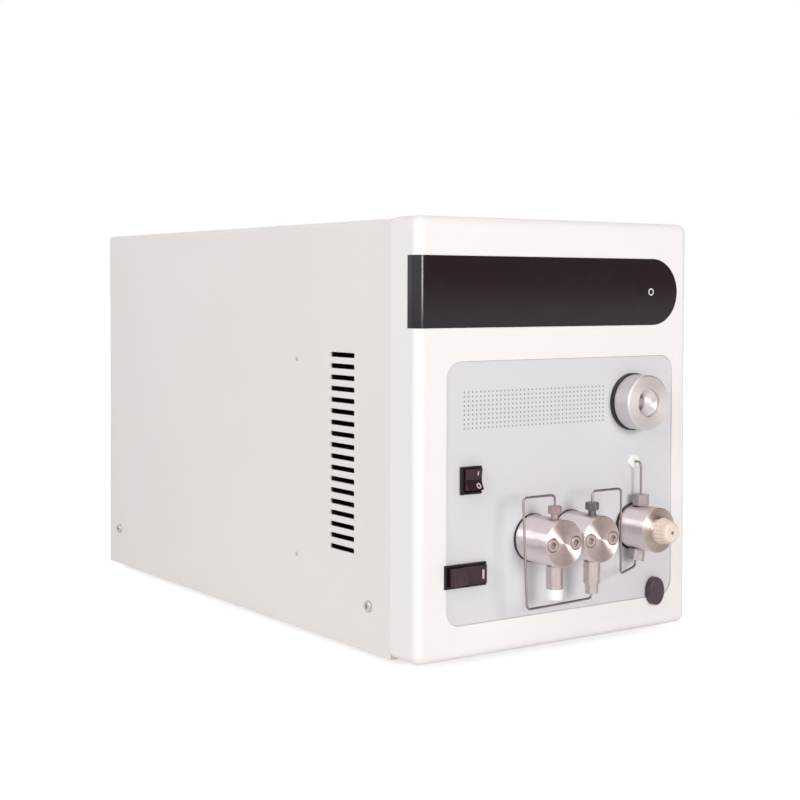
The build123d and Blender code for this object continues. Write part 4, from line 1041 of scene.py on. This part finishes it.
@dataclass(frozen=True)
class PrintedMark:
    """A thin printed sign laid on a rocker, placed from the middle of the rocker's box."""

    name: str
    rocker: str
    shape: MarkShape
    across: float
    up: float
    width: float
    height: float
    stroke: float = 0.6
    proud: float = 0.04
    sunk: float = 0.03
    segments: int = 32

    def outline(self) -> List[Tuple[float, float]]:
        """Walks along the stroke.

        Returns:
            Points in pairs across the stroke, from the middle of the sign, in millimetres.
        """
        if self.shape is MarkShape.BAR:
            half_width, half_height = self.width / 2, self.height / 2
            steps = [self.height * step / self.segments - half_height for step in range(self.segments + 1)]
            return [point for step in steps for point in ((-half_width, step), (half_width, step))]
        ring = []
        for step in range(self.segments):
            angle = 2 * math.pi * step / self.segments
            for inset in (self.stroke, 0.0):
                half_width, half_height = self.width / 2 - inset, self.height / 2 - inset
                ring.append((half_width * math.cos(angle), half_height * math.sin(angle)))
        return ring

    def laid(self) -> List[Vector]:
        """Drops the outline onto the rocker's front.

        Returns:
            For each point of the outline, a vertex above the surface and one sunk into it, in metres.
        """
        low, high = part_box(self.rocker)
        centre = (low + high) / 2
        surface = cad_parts[self.rocker]
        vertices: List[Vector] = []
        for across, up in self.outline():
            aside = centre.x + (self.across + across) * MM
            height = centre.z + (self.up + up) * MM
            start = Vector((aside, low.y - MM, height))
            hit, place, normal, _ = surface.ray_cast(start, Vector((0.0, 1.0, 0.0)))
            place = place if hit else Vector((aside, low.y, height))
            normal = normal if hit else Vector((0.0, -1.0, 0.0))
            vertices += [place + normal * self.proud * MM, place - normal * self.sunk * MM]
        return vertices

    def skin(self, pairs: int) -> List[Tuple[int, ...]]:
        """Closes the sign's skin round its vertices.

        Args:
            pairs: Number of point pairs along the stroke.

        Returns:
            The faces, as vertex numbers.
        """
        closed = self.shape is MarkShape.RING
        faces: List[Tuple[int, ...]] = []
        for step in range(pairs if closed else pairs - 1):
            here, ahead = 4 * step, 4 * ((step + 1) % pairs)
            faces.append((here, here + 2, ahead + 2, ahead))
            faces.append((here, ahead, ahead + 1, here + 1))
            faces.append((here + 2, here + 3, ahead + 3, ahead + 2))
            faces.append((here + 1, ahead + 1, ahead + 3, here + 3))
        if not closed:
            last = 4 * (pairs - 1)
            faces += [(0, 1, 3, 2), (last, last + 2, last + 3, last + 1)]
        return faces

    def build(self, material: Material) -> Piece:
        """Lays the sign on its rocker.

        Args:
            material: The ink.

        Returns:
            The sign, riding on the rocker's body.
        """
        vertices = self.laid()
        mesh = bpy.data.meshes.new(self.name)
        mesh.from_pydata(vertices, [], self.skin(len(vertices) // 4))
        mesh.materials.append(material)
        piece = bpy.data.objects.new(self.name, mesh)
        bpy.context.scene.collection.objects.link(piece)
        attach(piece, self.rocker)
        return piece


@dataclass
class Switches(SubAssembly):
    """Two rocker switches with plain on and off signs."""

    title: str = "switches"

    def finishes(self) -> Outfit:
        """Lists the frame's and the rockers' plastics.

        Returns:
            Each finish with the nodes that wear it.
        """
        body = GlossFinish(
            "Switch Moulding", linear(30, 18, 26), roughness=0.3, bump=0.05, depth=0.15, eased=0.3, shine=0.25
        )
        rocker = GlossFinish(
            "Rocker Moulding",
            linear(54, 28, 42),
            roughness=0.2,
            bump=0.04,
            depth=0.15,
            eased=0.4,
            coat=0.1,
            shine=0.4,
        )
        return [
            (body, ("upper_switch", "power_switch")),
            (rocker, ("upper_rocker", "power_rocker")),
        ]

    def details(self) -> List[Piece]:
        """Prints the signs on the rockers.

        Returns:
            The signs.
        """
        ink = SoftFinish("Sign Ink", linear(208, 190, 198), roughness=0.5, bump=0.05, depth=0.03).make()
        marks = (
            PrintedMark(
                "upper_on_sign", "upper_rocker", MarkShape.BAR, across=3.4, up=4.2, width=0.9, height=2.6
            ),
            PrintedMark(
                "upper_off_sign",
                "upper_rocker",
                MarkShape.RING,
                across=3.2,
                up=-3.9,
                width=3.6,
                height=3.6,
                stroke=0.9,
            ),
            PrintedMark(
                "power_on_sign", "power_rocker", MarkShape.BAR, across=12.0, up=0.0, width=1.6, height=6.0
            ),
        )
        return [mark.build(ink) for mark in marks]


@dataclass
class Drive(SubAssembly):
    """Cam housing, motor and bracket behind the plate."""

    title: str = "drive"

    def finishes(self) -> Outfit:
        """Lists cast alloy, motor enamel and plated sheet.

        Returns:
            Each finish with the nodes that wear it.
        """
        cast = DrawnFinish(
            "Cast Alloy",
            linear(186, 187, 188),
            roughness=0.48,
            bump=0.4,
            depth=0.15,
            eased=0.4,
            stretch=(900.0, 900.0, 900.0),
        )
        motor = CoatFinish("Motor Enamel", linear(48, 48, 50), roughness=0.4, bump=0.2, depth=0.1)
        plated = DrawnFinish(
            "Plated Sheet", linear(190, 192, 192), roughness=0.34, bump=0.1, depth=0.15, eased=0.2
        )
        return [
            (cast, ("drive_housing",)),
            (motor, ("drive_motor",)),
            (plated, ("drive_bracket", "power_supply", "board_standoffs")),
        ]


@dataclass
class Electrics(SubAssembly):
    """Main board, fan, mains inlet and the back's fasteners."""

    title: str = "electrics"

    def finishes(self) -> Outfit:
        """Lists board, moulding, contact and screw finishes.

        Returns:
            Each finish with the nodes that wear it.
        """
        board = BoardFinish(
            "Solder Resist",
            linear(28, 92, 48),
            roughness=0.35,
            bump=0.1,
            depth=0.1,
            copper=linear(60, 128, 70),
        )
        black = SoftFinish(
            "Black Moulding", linear(46, 46, 48), roughness=0.5, bump=0.2, depth=0.15, eased=0.3
        )
        contact = DrawnFinish("Contact Brass", linear(206, 184, 128), roughness=0.25, bump=0.1, depth=0.1)
        screws = DrawnFinish("Back Screws", linear(208, 206, 204), roughness=0.3, bump=0.1, depth=0.1)
        return [
            (board, ("main_board",)),
            (black, ("board_parts", "fan_frame", "fan_rotor", "mains_inlet")),
            (contact, ("inlet_pins",)),
            (screws, ("fan_screws", "inlet_screws")),
        ]


@dataclass(frozen=True)
class Lamp:
    """A square soft box aimed at the instrument.

    Azimuth and elevation are in degrees, reach and size in metres, power in watts.
    """

    name: str
    azimuth: float
    elevation: float
    reach: float
    size: float
    power: float

    def build(self, target: Vector) -> None:
        """Hangs the lamp.

        Args:
            target: The point it is aimed at, in metres.
        """
        data = bpy.data.lights.new(self.name, "AREA")
        data.size, data.energy = self.size, self.power
        lamp = bpy.data.objects.new(self.name, data)
        turn, rise = math.radians(self.azimuth), math.radians(self.elevation)
        away = Vector((math.sin(turn) * math.cos(rise), -math.cos(turn) * math.cos(rise), math.sin(rise)))
        lamp.location = target + away * self.reach
        lamp.rotation_mode = "QUATERNION"
        lamp.rotation_quaternion = away.to_track_quat("Z", "Y")
        bpy.context.scene.collection.objects.link(lamp)
        LOG.info("studio: lamp %s", self.name)


@dataclass
class Studio:
    """Pale floor, plain sky, soft boxes and the camera.

    The eye is in millimetres from the bezel's lower left front corner, and the angles are in degrees.
    The floor's glow rises from floor_lift inside the pool to 1 at pool_end, both radii in metres.
    """

    lamps: Tuple[Lamp, ...] = (
        Lamp("key", azimuth=3.0, elevation=12.0, reach=2.6, size=1.0, power=34.5),
        Lamp("side", azimuth=-78.0, elevation=22.0, reach=2.4, size=1.2, power=19.0),
        Lamp("crown", azimuth=10.0, elevation=75.0, reach=2.0, size=1.2, power=3.0),
    )
    floor_radius: float = 40.0
    floor_sides: int = 96
    floor_roughness: float = 0.9
    floor_colour: Colour = (0.91, 0.9, 0.895)
    floor_lift: float = 0.62
    floor_mirrored: float = 0.3
    pool: float = 0.7
    pool_end: float = 2.1
    sky: float = 0.5
    room_side: Triple = (0.78, -0.62, 0.1)
    room_edge: Tuple[float, float] = (0.3, 0.75)
    room_tone: Colour = (0.2, 0.11, 0.08)
    eye: Triple = (-554.668, -781.664, 240.646)
    yaw: float = 34.731
    pitch: float = -1.1997
    roll: float = 0.136
    focal_pixels: float = 1515.756
    centre_row: float = 321.22
    frame_pixels: float = 800.0
    sensor_width: float = 36.0
    far: float = 100.0

    def background(self, graph: Graph, mirrored: float) -> Socket:
        """Finds the rays that show the background: from the camera, and through metal and glass.

        Args:
            graph: Graph of the world or of the floor's material.
            mirrored: Share of the background that metal shows, 0 to 1.

        Returns:
            A mask, 1 where the background shows in full.
        """
        path = graph.add("LightPath").outputs
        glossy = graph.math("MULTIPLY", path["Is Glossy Ray"], mirrored)
        seen = graph.math("MAXIMUM", path["Is Camera Ray"], glossy)
        return graph.math("MAXIMUM", seen, path["Is Transmission Ray"])

    def build_sky(self) -> None:
        """Makes a plain world that is white where it is seen."""
        world = bpy.data.worlds.new("Plain Sky")
        bpy.context.scene.world = world
        world.use_nodes = True
        world.node_tree.nodes.clear()
        graph = Graph(world.node_tree)
        level = graph.spread(self.background(graph, 1.0), low=0.0, high=1.0, first=self.sky, last=1.0)
        direction = graph.add("TexCoord").outputs["Generated"]
        towards = graph.add("VectorMath", {0: direction, 1: self.room_side}, operation="DOT_PRODUCT")
        room = graph.spread(towards.outputs["Value"], *self.room_edge)
        unseen = graph.math("SUBTRACT", 1.0, graph.add("LightPath").outputs["Is Camera Ray"])
        colour = graph.blend(graph.math("MULTIPLY", room, unseen), WHITE, self.room_tone)
        sky = graph.add("Background", {"Color": colour, "Strength": level})
        graph.add("OutputWorld", {"Surface": sky.outputs[0]})

    def build_floor(self) -> None:
        """Lays a round pale floor that keeps the shadow."""
        angles = [2 * math.pi * step / self.floor_sides for step in range(self.floor_sides)]
        radius = self.floor_radius
        ring = [(radius * math.cos(angle), radius * math.sin(angle), 0.0) for angle in angles]
        mesh = bpy.data.meshes.new("studio_floor")
        mesh.from_pydata(ring, [], [tuple(range(self.floor_sides))])
        material = bpy.data.materials.new("Studio Floor")
        material.use_nodes = True
        material.node_tree.nodes.clear()
        graph = Graph(material.node_tree)
        away = graph.add("VectorMath", {0: graph.place()}, operation="LENGTH").outputs["Value"]
        rise = graph.spread(away, low=self.pool, high=self.pool_end, first=self.floor_lift, last=1.0)
        lift = graph.math("MULTIPLY", self.background(graph, self.floor_mirrored), rise)
        values = {"Base Color": self.floor_colour, "Roughness": self.floor_roughness}
        shader = graph.add("BsdfPrincipled", values)
        shader.inputs["Emission Color"].default_value = (*WHITE, 1.0)
        shader.inputs["Specular IOR Level"].default_value = 0.0
        graph.put(shader.inputs["Emission Strength"], lift)
        graph.add("OutputMaterial", {"Surface": shader.outputs[0]})
        mesh.materials.append(material)
        floor = bpy.data.objects.new("studio_floor", mesh)
        bpy.context.scene.collection.objects.link(floor)

    def build_camera(self, corner: Vector) -> None:
        """Stands the camera where the instrument was seen from.

        Args:
            corner: The bezel's lower left front corner, in metres, which the eye is measured from.
        """
        data = bpy.data.cameras.new("Camera")
        data.sensor_width = self.sensor_width
        data.lens = self.focal_pixels / self.frame_pixels * data.sensor_width
        data.shift_y = round(self.centre_row / self.frame_pixels - 0.5, 4)
        data.clip_end = self.far
        camera = bpy.data.objects.new("Camera", data)
        turn = Matrix.Rotation(-math.radians(self.yaw), 4, "Z")
        tip = Matrix.Rotation(math.radians(90.0 + self.pitch), 4, "X")
        spin = Matrix.Rotation(math.radians(self.roll), 4, "Z")
        eye = corner + Vector(self.eye) * MM
        camera.matrix_world = Matrix.Translation(eye) @ turn @ tip @ spin
        bpy.context.scene.collection.objects.link(camera)
        bpy.context.scene.camera = camera
        LOG.info("studio: camera at %s", tuple(round(value, 4) for value in eye))

    def build(self) -> None:
        """Builds the sky, floor, lamps and camera."""
        bpy.context.scene.view_settings.view_transform = "Standard"
        self.build_sky()
        self.build_floor()
        low, high = CAD_BOX
        target = (Vector(low) + Vector(high)) / 2
        target.y = low[1]
        for lamp in self.lamps:
            lamp.build(target)
        bezel_low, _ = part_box("front_bezel")
        self.build_camera(bezel_low)


def main() -> None:
    """Dresses every sub-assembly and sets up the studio."""
    logging.basicConfig(level=logging.INFO, format="%(name)s %(message)s")
    for assembly in (
        Casework(),
        DisplayBand(),
        FrontPlate(),
        PumpHeads(),
        PurgeValve(),
        InjectionValve(),
        Plumbing(),
        Switches(),
        Drive(),
        Electrics(),
    ):
        assembly.build()
    Studio().build()


if __name__ == "__main__":
    main()
